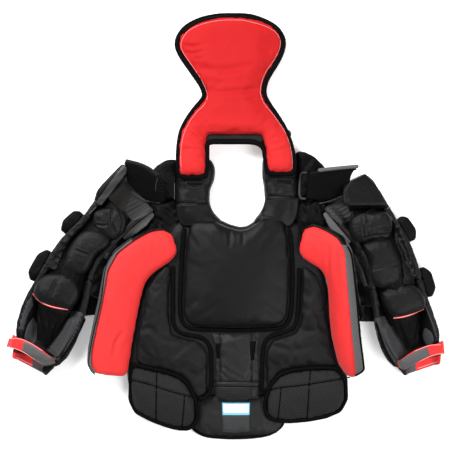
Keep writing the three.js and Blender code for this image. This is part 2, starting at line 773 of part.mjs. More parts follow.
const upperShell = (side, grow = 0) =>
  channel(side, 0, ELBOW, { floor: ARM_FLOOR, wall: ARM_WALL, grow });
const foreShell = (side, grow = 0) =>
  channel(side, ELBOW + STATION_GAP, WRIST, { floor: ARM_FLOOR, wall: ARM_WALL, grow });

// Half width of the hollow at the height where the sleeve springs from the walls.
const hollowHalf = ({ half, top, slope }) =>
  half - ARM_WALL - (slope * SLEEVE_DROP) / (top - ARM_FLOOR) - SLEEVE_CLEAR;

// Underside of the sleeve's arch over a point of the arm.
const archHeight = (arm, reach) =>
  arm.top - SLEEVE_DROP + SLEEVE_RISE * (1 - (reach / hollowHalf(arm)) ** 2);

// A piece bent over the arm between two shares of the hollow's width.
function overArm(side, rows, { thick, crown = 0, lift = 0, section = PAD }) {
  const sections = rows.map(({ station, outer, inner, full = 1, drop = 0 }) => {
    const arm = armAt(side, station);
    const outline = section.map((corner) => {
      const reach = hollowHalf(arm) * THREE.MathUtils.lerp(outer, inner, corner.across);
      const height = full * (corner.depth * thick + corner.crown * crown);
      return new THREE.Vector2(reach, archHeight(arm, reach) - drop + lift + height);
    });
    return { at: arm.at, across: arm.inward, up: UP, outline };
  });
  return loft(sections);
}

const ARCH = [
  { across: 0, depth: 0, crown: 0 },
  { across: 0.17, depth: 0, crown: 0 },
  { across: 0.33, depth: 0, crown: 0 },
  { across: 0.5, depth: 0, crown: 0 },
  { across: 0.67, depth: 0, crown: 0 },
  { across: 0.83, depth: 0, crown: 0 },
  { across: 1, depth: 0, crown: 0 },
  { across: 1, depth: 1, crown: 0 },
  { across: 0.83, depth: 1, crown: 0 },
  { across: 0.67, depth: 1, crown: 0 },
  { across: 0.5, depth: 1, crown: 0 },
  { across: 0.33, depth: 1, crown: 0 },
  { across: 0.17, depth: 1, crown: 0 },
  { across: 0, depth: 1, crown: 0 },
];
// Sleeve from wall to wall, narrowing to a tongue that drops into the forearm
const SLEEVE = [
  { station: 1, outer: -1, inner: 1 },
  { station: 2, outer: -1, inner: 1 },
  { station: 3, outer: -1, inner: 1 },
  { station: 4, outer: -1, inner: 1 },
  { station: 5, outer: -1, inner: 1 },
  { station: 5.8, outer: -0.85, inner: 0.75 },
  { station: 6.4, outer: -0.6, inner: 0.5, drop: 8 },
  { station: 7, outer: -0.4, inner: 0.35, drop: 20 },
];
const BICEP_PAD = [
  { station: 1, outer: -0.7, inner: 0.6, full: 0.5 },
  { station: 1.15, outer: -0.85, inner: 0.72 },
  { station: 1.7, outer: -0.88, inner: 0.8 },
  { station: 2.1, outer: -0.75, inner: 0.75, full: 0.6 },
];
const ELBOW_PAD = [
  { station: 2.15, outer: -0.4, inner: 0.8, full: 0.5 },
  { station: 2.4, outer: -0.5, inner: 0.95 },
  { station: 3.2, outer: -0.5, inner: 0.97 },
  { station: 3.9, outer: -0.45, inner: 0.92 },
  { station: 4.25, outer: -0.3, inner: 0.75, full: 0.5 },
];
const FOREARM_PAD = [
  { station: 4.3, outer: -0.6, inner: 0.45, full: 0.5 },
  { station: 4.5, outer: -0.8, inner: 0.65 },
  { station: 5.2, outer: -0.92, inner: 0.78 },
  { station: 5.7, outer: -0.88, inner: 0.68, full: 0.6 },
];

// Places over the arm: station, share of the half width (positive towards the body) and height
function armPlace(side, station, share, height) {
  const { at, inward, half } = armAt(side, station);
  return at.addScaledVector(inward, share * half).setZ(height);
}

// Strap over the wrist, in two lengths: the pull and the tab it sticks to
const STRAP_WIDTH = 0.6; // in stations
const STRAP_FALL = 4; // how far its wrist edge lies lower
const STRAP = [
  { station: 7.68, share: -0.98, height: 12 },
  { station: 7.68, share: -1.2, height: 22 },
  { station: 7.64, share: -1.1, height: 43 },
  { station: 7.55, share: -0.7, height: 54 },
  { station: 7.47, share: -0.34, height: 59 },
];
const STRAP_TAB = [
  { station: 7.46, share: -0.33, height: 59.5 },
  { station: 7.4, share: 0.1, height: 60 },
  { station: 7.38, share: 0.5, height: 55 },
  { station: 7.38, share: 0.8, height: 47 },
  { station: 7.38, share: 1, height: 37 },
];
const strap = (side, rows) =>
  pad(
    rows.map(({ station, share, height }) => ({
      a: armPlace(side, station, share, height),
      b: armPlace(side, station + STRAP_WIDTH, share, height - STRAP_FALL),
    })),
    { thick: STRAP_THICK, section: SHEET },
  );

// Padded tabs that stand out beside the elbow
const TABS = {
  upper: [
    { station: 2.05, out: 13, full: 0.6 },
    { station: 2.25, out: 24 },
    { station: 2.75, out: 26 },
    { station: 3, out: 15, full: 0.6 },
  ],
  lower: [
    { station: 3.85, out: 12, full: 0.6 },
    { station: 4.1, out: 24 },
    { station: 4.75, out: 25 },
    { station: 5.1, out: 12, full: 0.6 },
  ],
};
const TAB_HEIGHT = 38;
const ROOT_SHARE = 0.9; // pieces sewn to the outside of a wall start inside it, at this share
const tab = (side, rows) =>
  pad(
    rows.map(({ station, out, full }) => {
      const { half } = armAt(side, station);
      return {
        a: armPlace(side, station, -ROOT_SHARE, TAB_HEIGHT),
        b: armPlace(side, station, -(1 + out / half), TAB_HEIGHT),
        full,
      };
    }),
    { thick: TAB_THICK },
  );

// Grey flap that hangs along the body side of the upper arm
const ARMPIT = [
  { station: 0.1, out: 6, height: 32 },
  { station: 0.6, out: 15, height: 36 },
  { station: 1.2, out: 15, height: 40 },
  { station: 1.75, out: 6, height: 38 },
];
const ARMPIT_FALL = 5; // how far the flap slopes down from the arm
const armpitFlap = (side) =>
  pad(
    ARMPIT.map(({ station, out, height }) => {
      const { half } = armAt(side, station);
      return {
        a: armPlace(side, station, ROOT_SHARE, height),
        b: armPlace(side, station, 1 + out / half, height - ARMPIT_FALL),
      };
    }),
    { thick: ARMPIT_THICK, section: SHEET },
  );

// Grey panel on the sloping inner wall of the forearm
const FOREARM_PANEL = { from: 5.9, to: 7.3, thick: 4, clear: 5, lift: 0.7 };
const forearmPanel = (side) =>
  pad(
    stationsBetween(FOREARM_PANEL.from, FOREARM_PANEL.to, 0.35).map((station) => {
      const { half, top, slope } = armAt(side, station);
      const foot = (half - ARM_WALL - slope - FOREARM_PANEL.clear) / half;
      const head = (half - ARM_WALL - FOREARM_PANEL.clear) / half;
      return {
        a: armPlace(side, station, foot, ARM_FLOOR + FOREARM_PANEL.lift),
        b: armPlace(side, station, head, top + FOREARM_PANEL.lift),
      };
    }),
    { thick: FOREARM_PANEL.thick, section: SHEET },
  );

// Pieces placed by hand beside each arm: rows from a first to a second edge
const edgeRows = (rows) =>
  rows.map(({ x1, y1, z1, x2, y2, z2, full }) => ({ a: point(x1, y1, z1), b: point(x2, y2, z2), full }));
const CAP_FOOT = SHOULDER_BASE + SHOULDER_THICK + GAP;
const CAPS = {
  left: [
    { x1: -240, y1: 264, z1: 44, x2: -246, y2: 306, z2: 80 },
    { x1: -220, y1: 240, z1: 34, x2: -222, y2: 303, z2: 90 },
    { x1: -198, y1: 224, z1: CAP_FOOT, x2: -197, y2: 293, z2: 92 },
    { x1: -178, y1: 217, z1: CAP_FOOT, x2: -177, y2: 277, z2: 84 },
    { x1: -160, y1: 220, z1: CAP_FOOT, x2: -160, y2: 262, z2: 60 },
  ],
  right: [
    { x1: 152, y1: 226, z1: CAP_FOOT, x2: 156, y2: 280, z2: 62 },
    { x1: 178, y1: 222, z1: CAP_FOOT, x2: 182, y2: 286, z2: 86 },
    { x1: 208, y1: 226, z1: 30, x2: 214, y2: 290, z2: 92 },
    { x1: 236, y1: 236, z1: 40, x2: 240, y2: 292, z2: 92 },
    { x1: 246, y1: 285, z1: 86, x2: 262, y2: 296, z2: 91 },
  ],
};
const PLATES = {
  left: [
    { x1: -240, y1: 286, z1: 44, x2: -253, y2: 299, z2: 90 },
    { x1: -266, y1: 256, z1: 44, x2: -283, y2: 268, z2: 95 },
    { x1: -293, y1: 231, z1: 48, x2: -307, y2: 242, z2: 92 },
    { x1: -306, y1: 211, z1: 52, x2: -315, y2: 218, z2: 80 },
  ],
  right: [
    { x1: 247, y1: 258, z1: 66, x2: 275, y2: 277, z2: 50 },
    { x1: 237, y1: 236, z1: 70, x2: 297, y2: 255, z2: 49 },
    { x1: 236, y1: 216, z1: 72, x2: 314, y2: 228, z2: 52 },
    { x1: 242, y1: 205, z1: 74, x2: 324, y2: 207, z2: 55 },
  ],
};
const ELBOW_GUARDS = {
  left: [
    { x1: -339, y1: 20, z1: 6, x2: -301, y2: 37, z2: 6 },
    { x1: -339, y1: -9, z1: 6, x2: -305, y2: 0, z2: 6 },
    { x1: -344, y1: -36, z1: 6, x2: -311, y2: -33, z2: 6 },
  ],
  right: [
    { x1: 300, y1: 64, z1: 6, x2: 254, y2: 82, z2: 6 },
    { x1: 300, y1: 26, z1: 6, x2: 257, y2: 33, z2: 6 },
    { x1: 305, y1: -12, z1: 6, x2: 263, y2: -12, z2: 6 },
    { x1: 308, y1: -48, z1: 6, x2: 267, y2: -48, z2: 6 },
  ],
};
const GUARD_THICK = 11;
const WEB_BASE = 5;
const WEB_THICK = 18;

for (const side of ["left", "right"]) {
  const shellRoom = upperShell(side, GAP);
  const foreRoom = foreShell(side, GAP);
  const yokeRoom = yoke(side, GAP);
  const panel = pad(level(SHOULDERS[side], SHOULDER_BASE), { thick: SHOULDER_THICK });
  const web = pad(
    UNDERARMS[side].map(({ armX, armY, bodyX, bodyY }) => ({
      a: point(armX, armY, WEB_BASE),
      b: point(bodyX, bodyY, WEB_BASE),
    })),
    { thick: WEB_THICK },
  );
  const cap = pad(edgeRows(CAPS[side]), { thick: CAP_THICK, section: SHEET });
  const capRoom = pad(edgeRows(CAPS[side]), { thick: CAP_THICK, section: SHEET, grow: GAP });
  const plate = pad(edgeRows(PLATES[side]), { thick: PLATE_THICK, section: SHEET });
  const guard = pad(edgeRows(ELBOW_GUARDS[side]), { thick: GUARD_THICK });

  add(`yoke_${side}`, yoke(side), BLACK);
  add(`shoulder_panel_${side}`, cut(panel, yokeRoom, shellRoom), BLACK);
  add(`underarm_${side}`, cut(web, yokeRoom, shellRoom, torso(GAP)), BLACK);
  add(`upper_arm_shell_${side}`, upperShell(side), BLACK);
  add(`forearm_shell_${side}`, foreShell(side), BLACK);
  add(`shoulder_cap_${side}`, cut(cap, shellRoom), BLACK);
  add(`bicep_plate_${side}`, cut(plate, shellRoom, capRoom), BLACK);
  add(`armpit_flap_${side}`, cut(armpitFlap(side), shellRoom), GREY);
  add(`sleeve_${side}`, overArm(side, SLEEVE, { thick: SLEEVE_THICK, section: ARCH }), BLACK);
  const onSleeve = { thick: ARM_PAD_THICK, crown: ARM_PAD_CROWN, lift: SLEEVE_THICK + ARM_PAD_LIFT };
  add(`bicep_pad_${side}`, overArm(side, BICEP_PAD, onSleeve), BLACK);
  add(`elbow_pad_${side}`, overArm(side, ELBOW_PAD, onSleeve), BLACK);
  add(`forearm_pad_${side}`, overArm(side, FOREARM_PAD, onSleeve), BLACK);
  add(`forearm_panel_${side}`, forearmPanel(side), KNIT);
  add(`elbow_tab_upper_${side}`, cut(tab(side, TABS.upper), shellRoom), BLACK);
  add(`elbow_tab_lower_${side}`, cut(tab(side, TABS.lower), shellRoom, foreRoom), BLACK);
  add(`elbow_guard_${side}`, cut(guard, shellRoom, foreRoom), BLACK);
  add(`wrist_strap_${side}`, cut(strap(side, STRAP), foreRoom), RED);
  add(`strap_tab_${side}`, cut(strap(side, STRAP_TAB), foreRoom), GREY);
  const cuffFrom = WRIST + STATION_GAP;
  const cuff = channel(side, cuffFrom, STATIONS, { floor: CUFF_WALL, wall: CUFF_WALL, step: 0.3 });
  add(`cuff_${side}`, cuff, RED);
}

export default protector;
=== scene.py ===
"""Looks of a goalie chest and arm protector: padded cloth, bound edges, knit panels and straps.

Metres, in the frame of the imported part: +X to the wearer's right, +Y towards the neck, +Z up.
Tables of seams and trim give places as photo pixels, which spot() turns into metres.
"""

import math

import bmesh
import bpy
import numpy as np
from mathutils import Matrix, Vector
from mathutils.bvhtree import BVHTree
from mathutils.kdtree import KDTree


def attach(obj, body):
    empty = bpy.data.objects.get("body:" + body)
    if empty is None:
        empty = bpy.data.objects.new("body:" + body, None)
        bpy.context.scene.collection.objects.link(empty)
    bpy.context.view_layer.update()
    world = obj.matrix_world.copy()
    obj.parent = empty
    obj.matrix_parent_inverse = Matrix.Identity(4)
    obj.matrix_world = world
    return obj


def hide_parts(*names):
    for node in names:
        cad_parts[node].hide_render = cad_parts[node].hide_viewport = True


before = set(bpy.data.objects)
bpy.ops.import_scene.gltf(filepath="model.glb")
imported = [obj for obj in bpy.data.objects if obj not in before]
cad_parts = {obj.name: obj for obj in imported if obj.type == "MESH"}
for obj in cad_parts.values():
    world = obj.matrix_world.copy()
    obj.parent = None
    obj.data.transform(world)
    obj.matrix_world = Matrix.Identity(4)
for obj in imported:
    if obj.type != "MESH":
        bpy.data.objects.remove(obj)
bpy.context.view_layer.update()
scene = bpy.context.scene

MM = 0.001
PIXEL = 2.2 * MM  # one photo pixel on the object
ORIGIN_PX = (238, 300)  # photo pixel over the frame's origin
FRAME_PX = 450
SIDES = ("left", "right")


def spot(px, py):
    """Place on the object under a photo pixel."""
    return np.array([(px - ORIGIN_PX[0]) * PIXEL, (ORIGIN_PX[1] - py) * PIXEL])


def run(path):
    """A list of photo pixels as places."""
    return np.array([spot(*p) for p in path])


# Materials


class Graph:
    """A material and short ways to add nodes to it."""

    def __init__(self, name):
        self.material = bpy.data.materials.new(name)
        self.material.use_nodes = True
        self.tree = self.material.node_tree
        self.shader = self.tree.nodes["Principled BSDF"]
        self.places = self.add("ShaderNodeTexCoord").outputs["Object"]

    def add(self, kind, settings=None, **inputs):
        node = self.tree.nodes.new(kind)
        for key, value in (settings or {}).items():
            setattr(node, key, value)
        for key, value in inputs.items():
            self.feed(node.inputs[key.replace("_", " ")], value)
        return node

    def feed(self, socket, value):
        if isinstance(value, bpy.types.NodeSocket):
            self.tree.links.new(value, socket)
        else:
            socket.default_value = value

    def math(self, operation, *values):
        node = self.add("ShaderNodeMath", {"operation": operation})
        for socket, value in zip(node.inputs, values):
            self.feed(socket, value)
        return node.outputs[0]

    def turned(self, angle, tilt=0.0):
        turn = (math.radians(tilt), math.radians(tilt), math.radians(angle))
        return self.add("ShaderNodeMapping", Vector=self.places, Rotation=turn).outputs[0]

    def bands(self, pitch, angle, tilt=0.0):
        """Stripes of that pitch, from 0 to 1."""
        scale = math.pi / 10 / pitch
        settings = {"wave_type": "BANDS", "bands_direction": "X", "wave_profile": "SIN"}
        wave = self.add("ShaderNodeTexWave", settings, Vector=self.turned(angle, tilt), Scale=scale)
        return wave.outputs["Fac"]

    def noise(self, pitch, detail):
        noise = self.add("ShaderNodeTexNoise", Vector=self.places, Scale=1 / pitch, Detail=detail)
        return noise.outputs["Fac"]

    def mix(self, factor, one, other):
        node = self.add("ShaderNodeMix", {"data_type": "RGBA"})
        self.feed(node.inputs["Factor"], factor)
        self.feed(node.inputs[6], one)
        self.feed(node.inputs[7], other)
        return node.outputs[2]

    def bump(self, height, distance, normal=None):
        node = self.add("ShaderNodeBump", Height=height, Distance=distance)
        if normal is not None:
            self.feed(node.inputs["Normal"], normal)
        return node.outputs[0]


RIB_TILT = 12  # degrees that ribs lean, so that they show on upright sides too
WEAVE_TILT = 24
RIB_SHARE = 0.75  # share of the ribs in their pattern, the rest being cross threads
CROSS_PITCH = 0.55  # pitch of the cross threads, as a share of the ribs'
CLOUDS = 60 * MM  # size of the patches in a cloth's tone
GLOSS_PATCHES = 25 * MM
GLOSS_RANGE = 0.16
SHEEN_ROUGHNESS = 0.45
WORN_FROM = 0.52  # pointiness of an edge that starts to look worn
WORN_TO = 0.62
WORN_MOST = 0.35
WORN_PALER = 1.7


def shade(color, factor):
    """A colour made lighter or darker."""
    return tuple(min(1.0, c * factor) for c in color) + (1.0,)


def pattern(graph, kind, pitch, angle):
    """Height of a weave, of ribs or of a knit with holes, from 0 to 1."""
    if kind == "ribs":
        ribs = graph.bands(pitch, angle, RIB_TILT)
        cross = graph.bands(pitch * CROSS_PITCH, angle + 90, RIB_TILT)
        crossing = graph.math("MULTIPLY", cross, 1 - RIB_SHARE)
        return graph.math("MULTIPLY_ADD", ribs, RIB_SHARE, crossing)
    one = graph.bands(pitch, angle, WEAVE_TILT)
    other = graph.bands(pitch, angle + 90, WEAVE_TILT)
    if kind == "knit":
        return graph.math("MAXIMUM", one, other)
    halves = [graph.math("SUBTRACT", threads, 0.5) for threads in (one, other)]
    crossed = graph.math("MULTIPLY", *halves)
    return graph.math("MULTIPLY_ADD", crossed, 2.0, 0.5)


LOOKS = {}


def look(name, color, rough, spec=0.25, sheen=0.0, kind="weave", pitch=1.1, angle=20, relief=0.12,
         contrast=0.25, crinkle=0.5, fold=22, blotch=0.16, painted_light=None):
    """Makes a cloth: its pattern, pitch and relief in mm, its crinkles and how much its tone varies.

    Its last argument is a paler colour that it fades to between two rows of the photo: painted light, for
    a part that catches more light.
    """
    graph = Graph(name)
    height = pattern(graph, kind, pitch * MM, angle)
    cloudy = graph.noise(CLOUDS, 4)
    tone = graph.mix(cloudy, shade(color, 1 - blotch), shade(color, 1 + blotch))
    threads = graph.mix(height, shade(color, 1 - contrast), shade(color, 1 + contrast))
    mixed = graph.mix(0.5, tone, threads)
    # painted light: from one row of the photo down to the next the colour fades to a paler one
    if painted_light:
        lower, start, end = painted_light
        height_up = graph.add("ShaderNodeSeparateXYZ", Vector=graph.places).outputs["Y"]
        share = graph.add("ShaderNodeMapRange", Value=height_up)
        share.inputs["From Min"].default_value = spot(0, start)[1]
        share.inputs["From Max"].default_value = spot(0, end)[1]
        mixed = graph.mix(share.outputs[0], mixed, shade(lower, 1))
    edges = graph.add("ShaderNodeNewGeometry").outputs["Pointiness"]
    worn = graph.add("ShaderNodeMapRange", Value=edges)
    worn.inputs["From Min"].default_value = WORN_FROM
    worn.inputs["From Max"].default_value = WORN_TO
    worn.inputs["To Max"].default_value = WORN_MOST
    painted = graph.mix(worn.outputs[0], mixed, shade(color, WORN_PALER))
    graph.feed(graph.shader.inputs["Base Color"], painted)
    patches = graph.noise(GLOSS_PATCHES, 2)
    gloss = graph.math("MULTIPLY_ADD", patches, GLOSS_RANGE, rough - GLOSS_RANGE / 2)
    graph.feed(graph.shader.inputs["Roughness"], gloss)
    graph.shader.inputs["Specular IOR Level"].default_value = spec
    graph.shader.inputs["Sheen Weight"].default_value = sheen
    graph.shader.inputs["Sheen Roughness"].default_value = SHEEN_ROUGHNESS
    creased = graph.bump(graph.noise(fold * MM, 4), crinkle * 2 * MM)
    graph.feed(graph.shader.inputs["Normal"], graph.bump(height, relief * MM, creased))
    LOOKS[name] = graph.material


BLACK = (0.0042, 0.0041, 0.0045)
ASH = (0.0780, 0.0770, 0.0795)
SCARLET = (0.6200, 0.0220, 0.0220)
look("nylon", BLACK, 0.36, 0.13, crinkle=1.3)
look("lining", (0.0040, 0.0039, 0.0043), 0.40, 0.12, pitch=1.4, crinkle=0.35, fold=30)
look("quilt", (0.0098, 0.0096, 0.0101), 0.75, 0.15, kind="knit", pitch=4.4, angle=8, relief=0.7,
     contrast=0.8)
look("ribbing", (0.0125, 0.0122, 0.0128), 0.75, 0.15, kind="ribs", pitch=5.2, angle=-62, relief=0.8,
     contrast=0.8)
look("rim", ASH, 0.8, 0.15, kind="ribs", pitch=4.6, angle=48, relief=0.5, contrast=0.6)
look("mesh", (0.038, 0.037, 0.039), 0.8, 0.12, kind="ribs", pitch=4.4, angle=75, relief=0.6, contrast=0.7)
look("belly", (0.0125, 0.0123, 0.0128), 0.40, 0.12, pitch=1.4, crinkle=0.8, fold=26)
# black cloth darkened further, to paint the shade in the armpits, under the shoulder caps and on the
# sleeves and elbow tabs
look("dusk", (0.0022, 0.0022, 0.0024), 0.45, 0.06, crinkle=1.3)
look("cap", (0.0036, 0.0036, 0.0038), 0.5, 0.08, pitch=1.2, crinkle=0.3, fold=30)
look("pleats", (0.034, 0.033, 0.035), 0.7, 0.15, kind="ribs", pitch=9.0, angle=62, relief=1.0,
     contrast=0.75, crinkle=1.0)
look("patch", (0.034, 0.035, 0.038), 0.75, 0.15, kind="knit", pitch=2.2, contrast=0.25, crinkle=0.6)
# thread of the stitched edges, also used for the painted highlight along the forearm piping
look("stitch", (0.72, 0.30, 0.30), 0.6, 0.2, pitch=0.8, relief=0.05, crinkle=0.1)
look("inner", (0.026, 0.024, 0.023), 0.7, 0.15, kind="knit", pitch=2.4, relief=0.25, contrast=0.3)
look("red", SCARLET, 0.62, 0.22, 0.08, pitch=1.0, contrast=0.10, crinkle=0.3, fold=34, blotch=0.05)
# the back flap's legs fade to a paler red: painted light, as the legs catch more light
look("scarlet", (0.40, 0.009, 0.0105), 0.62, 0.1, pitch=1.0, contrast=0.12, crinkle=0.6, fold=34,
     blotch=0.08, painted_light=((0.52, 0.019, 0.020), 112, 160))
look("net", (0.0040, 0.0039, 0.0042), 0.45, 0.12, kind="knit", pitch=3.0, angle=38, relief=0.35,
     contrast=0.6, crinkle=0.4)
look("tape", (0.0012, 0.0012, 0.0013), 0.70, 0.05, kind="ribs", pitch=1.6, angle=40, relief=0.2)
look("seam", (0.0012, 0.0012, 0.0013), 0.8, 0.05, pitch=0.8, relief=0.05, crinkle=0.1)
look("piping", (0.20, 0.20, 0.205), 0.6, 0.25, kind="ribs", pitch=1.6, angle=15, relief=0.15)
look("webbing", ASH, 0.7, 0.2, kind="ribs", pitch=2.2, angle=70, relief=0.3, contrast=0.3)
# a darker red that paints the shade inside the cuffs, under the straps
look("maroon", (0.10, 0.006, 0.007), 0.62, 0.22, kind="ribs", pitch=1.6, relief=0.2)
look("tag", (0.80, 0.90, 0.93), 0.4, 0.3, pitch=0.8, contrast=0.05, crinkle=0.15, blotch=0.03)
look("tag_edge", (0.16, 0.47, 0.60), 0.45, 0.3, pitch=0.8, contrast=0.1, crinkle=0.1)
look("tag_dark", (0.016, 0.017, 0.018), 0.45, 0.3, pitch=0.8, contrast=0.1, crinkle=0.1)
look("plastic", (0.012, 0.012, 0.012), 0.4, 0.4, pitch=0.6, relief=0.03, crinkle=0.1)


# Mesh work


def points(obj):
    found = np.empty(len(obj.data.vertices) * 3)
    obj.data.vertices.foreach_get("co", found)
    return found.reshape(-1, 3)


def normals(obj):
    found = np.empty(len(obj.data.vertices) * 3, np.float32)
    obj.data.vertex_normals.foreach_get("vector", found)
    return found.reshape(-1, 3).astype(float)


def put(obj, places):
    obj.data.vertices.foreach_set("co", places.ravel())
    obj.data.update()


def bake(obj):
    """Applies the modifiers of an object."""
    graph = bpy.context.evaluated_depsgraph_get()
    mesh = bpy.data.meshes.new_from_object(obj.evaluated_get(graph))
    old = obj.data
    obj.modifiers.clear()
    obj.data = mesh
    bpy.data.meshes.remove(old)


def new_piece(name, mesh):
    obj = bpy.data.objects.new(name, mesh)
    scene.collection.objects.link(obj)
    return obj


def smooth(obj, rounds, pull=0.5, regain=-0.52):
    """Rounds a mesh off and keeps most of its size."""
    places = points(obj)
    count = len(places)
    edges = np.empty(len(obj.data.edges) * 2, np.int32)
    obj.data.edges.foreach_get("vertices", edges)
    one, other = edges.reshape(-1, 2).T
    shares = np.bincount(one, minlength=count) + np.bincount(other, minlength=count)
    shares = np.maximum(shares, 1)[:, None]
    for _ in range(rounds):
        for weight in (pull, regain):
            sums = [
                np.bincount(one, places[other, k], count) + np.bincount(other, places[one, k], count)
                for k in range(3)
            ]
            places += weight * (np.stack(sums, 1) / shares - places)
    put(obj, places)


WELD = 0.02 * MM
JOINED = math.radians(50)  # most that two joined triangles may differ
HALVINGS = 3


def quads_of(mesh, reach):
    """Joins the triangles of a mesh in pairs and halves its long edges, so that it divides evenly."""
    work = bmesh.new()
    work.from_mesh(mesh)
    bmesh.ops.remove_doubles(work, verts=work.verts, dist=WELD)
    bmesh.ops.join_triangles(
        work, faces=work.faces, angle_face_threshold=JOINED, angle_shape_threshold=JOINED
    )
    for _ in range(HALVINGS):
        long = [edge for edge in work.edges if edge.calc_length() > reach * MM]
        if reach and long:
            bmesh.ops.subdivide_edges(work, edges=long, cuts=1, use_grid_fill=True)
    work.to_mesh(mesh)
    work.free()


def face_out(mesh):
    """Turns all faces outwards."""
    work = bmesh.new()
    work.from_mesh(mesh)
    bmesh.ops.recalc_face_normals(work, faces=work.faces)
    work.to_mesh(mesh)
    work.free()


GROWTH = (1, 1, 0.4)  # share of a piece's growth along each axis


def grow(obj, amount):
    """Moves the skin of a piece outwards by some millimetres, mostly sideways."""
    places = points(obj) + normals(obj) * GROWTH * amount * MM
    places[:, 2] = np.maximum(places[:, 2], 0)
    put(obj, places)


def skinned(node, name, voxel, reach):
    """A new piece from a CAD node's shape, with an even skin. Its corners are rounded over some reach."""
    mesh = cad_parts[node].data.copy()
    mesh.materials.clear()
    quads_of(mesh, reach)
    obj = new_piece(name, mesh)
    if reach:
        rounder = obj.modifiers.new("rounder", "SUBSURF")
        rounder.levels = 2
    skin = obj.modifiers.new("skin", "REMESH")
    skin.mode = "VOXEL"
    skin.voxel_size = voxel * MM
    bake(obj)
    return obj


PINNED_BELOW = 0.15  # points whose normals rise less than this are sewn down


def puff(obj, swell, slack, frames=14, pressure=4.0):
    """Swells the upper side of a pad as cloth under pressure, by at most swell millimetres."""
    before = points(obj)
    sewn = obj.vertex_groups.new(name="sewn")
    sewn.add(np.where(normals(obj)[:, 2] < PINNED_BELOW)[0].tolist(), 1.0, "REPLACE")
    cloth = obj.modifiers.new("cloth", "CLOTH")
    cloth.settings.quality = 4
    cloth.settings.use_pressure = True
    cloth.settings.uniform_pressure_force = pressure
    cloth.settings.vertex_group_mass = "sewn"
    cloth.settings.shrink_min = -slack
    cloth.settings.effector_weights.gravity = 0
    cloth.collision_settings.use_collision = False
    for step in range(1, frames + 1):
        scene.frame_set(step)
    bake(obj)
    obj.vertex_groups.clear()
    scene.frame_set(1)
    moved = points(obj) - before
    length = np.linalg.norm(moved, axis=1, keepdims=True)
    put(obj, before + moved * np.minimum(1, swell * MM / np.maximum(length, 1e-9)))


def divide(obj):
    """Subdivides a piece once."""
    finer = obj.modifiers.new("finer", "SUBSURF")
    finer.levels = 1
    bake(obj)


FAR = 9.0


def distances(flat, path):
    """Distance of each place from a path, and its share along the path."""
    best = np.full(len(flat), FAR)
    share = np.zeros(len(flat))
    steps = np.linalg.norm(np.diff(path, axis=0), axis=1)
    total, done = steps.sum(), 0.0
    for start, end, step in zip(path[:-1], path[1:], steps):
        along = np.clip((flat - start) @ (end - start) / step**2, 0, 1)
        away = np.linalg.norm(flat - start - along[:, None] * (end - start), axis=1)
        nearer = away < best
        best[nearer] = away[nearer]
        share[nearer] = (done + along[nearer] * step) / total
        done += step
    return best, share


def upward(facing, start, span):
    """1 on surfaces that face up, fading to 0 where their normals rise less than start."""
    return np.clip((facing[:, 2] - start) / span, 0, 1)


LIP = 0.3  # height of the bulge beside a crease, as a share of its depth
LIP_AWAY = 2.0  # its distance, in half widths of the crease


def groove(obj, path, depth, width, fades):
    """Presses a crease or seam into the upper side of a piece along a path of photo pixels."""
    places = points(obj)
    facing = normals(obj)
    away, share = distances(places[:, :2], run(path))
    away = away / (width * MM)
    strength = np.exp(-(away**2)) - LIP * np.exp(-((away - LIP_AWAY) ** 2))
    if fades:
        strength *= np.sqrt(np.maximum(np.sin(np.pi * share), 0))
    strength *= upward(facing, 0.1, 0.3)
    put(obj, places - facing * (strength * depth * MM)[:, None])


WAVE_COUNT = 10
WAVE_SPREAD = (0.7, 1.5)  # shortest and longest wave, as shares of the pitch
WAVE_PHASES = 6.3
BEND_PITCH = 2.2
BEND = 1.2


def waves(places, pitch, seed):
    """Even random waves of about that pitch in millimetres, near -1 to 1."""
    draw = np.random.default_rng(seed)
    total = np.zeros(len(places))
    bend = np.sin(places @ draw.normal(size=3) / (BEND_PITCH * pitch * MM))
    for _ in range(WAVE_COUNT):
        heading = draw.normal(size=3)
        heading *= 2 * np.pi / (np.linalg.norm(heading) * pitch * MM * draw.uniform(*WAVE_SPREAD))
        total += np.sin(places @ heading + draw.uniform(0, WAVE_PHASES) + BEND * bend)
    return total / math.sqrt(WAVE_COUNT)


SHARP = 0.6  # share of ridges in the folds, the rest being even waves


def crumple(obj, height, pitch, seed):
    """Soft folds all over the upper side of a piece."""
    places = points(obj)
    facing = normals(obj)
    fold = waves(places, pitch, seed)
    ridged = 1 - 2 * np.abs(np.tanh(fold))
    shape = (1 - SHARP) * fold + SHARP * ridged
    shape *= upward(facing, -0.1, 0.4)
    put(obj, places + facing * (shape * height * MM)[:, None])


GATHER_PITCH = 11
GATHER_REACH = 9 * MM


def pucker(obj, edge, height, seed):
    """Small gathers beside a bound edge."""
    edge_places = points(edge)
    tree = KDTree(len(edge_places))
    for i, place in enumerate(edge_places):
        tree.insert(place, i)
    tree.balance()
    places = points(obj)
    facing = normals(obj)
    near = np.array([tree.find(p)[2] for p in places])
    shape = waves(places, GATHER_PITCH, seed) * np.exp(-near / GATHER_REACH) * upward(facing, 0, 0.3)
    put(obj, places + facing * (shape * height * MM)[:, None])


made = {}


def dress(obj, node, style):
    """Gives a piece its material and its place in the frame."""
    obj.data.materials.clear()
    obj.data.materials.append(LOOKS[style])
    for face in obj.data.polygons:
        face.use_smooth = True
    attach(obj, "root")
    if node:
        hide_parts(node)
        made[node] = obj


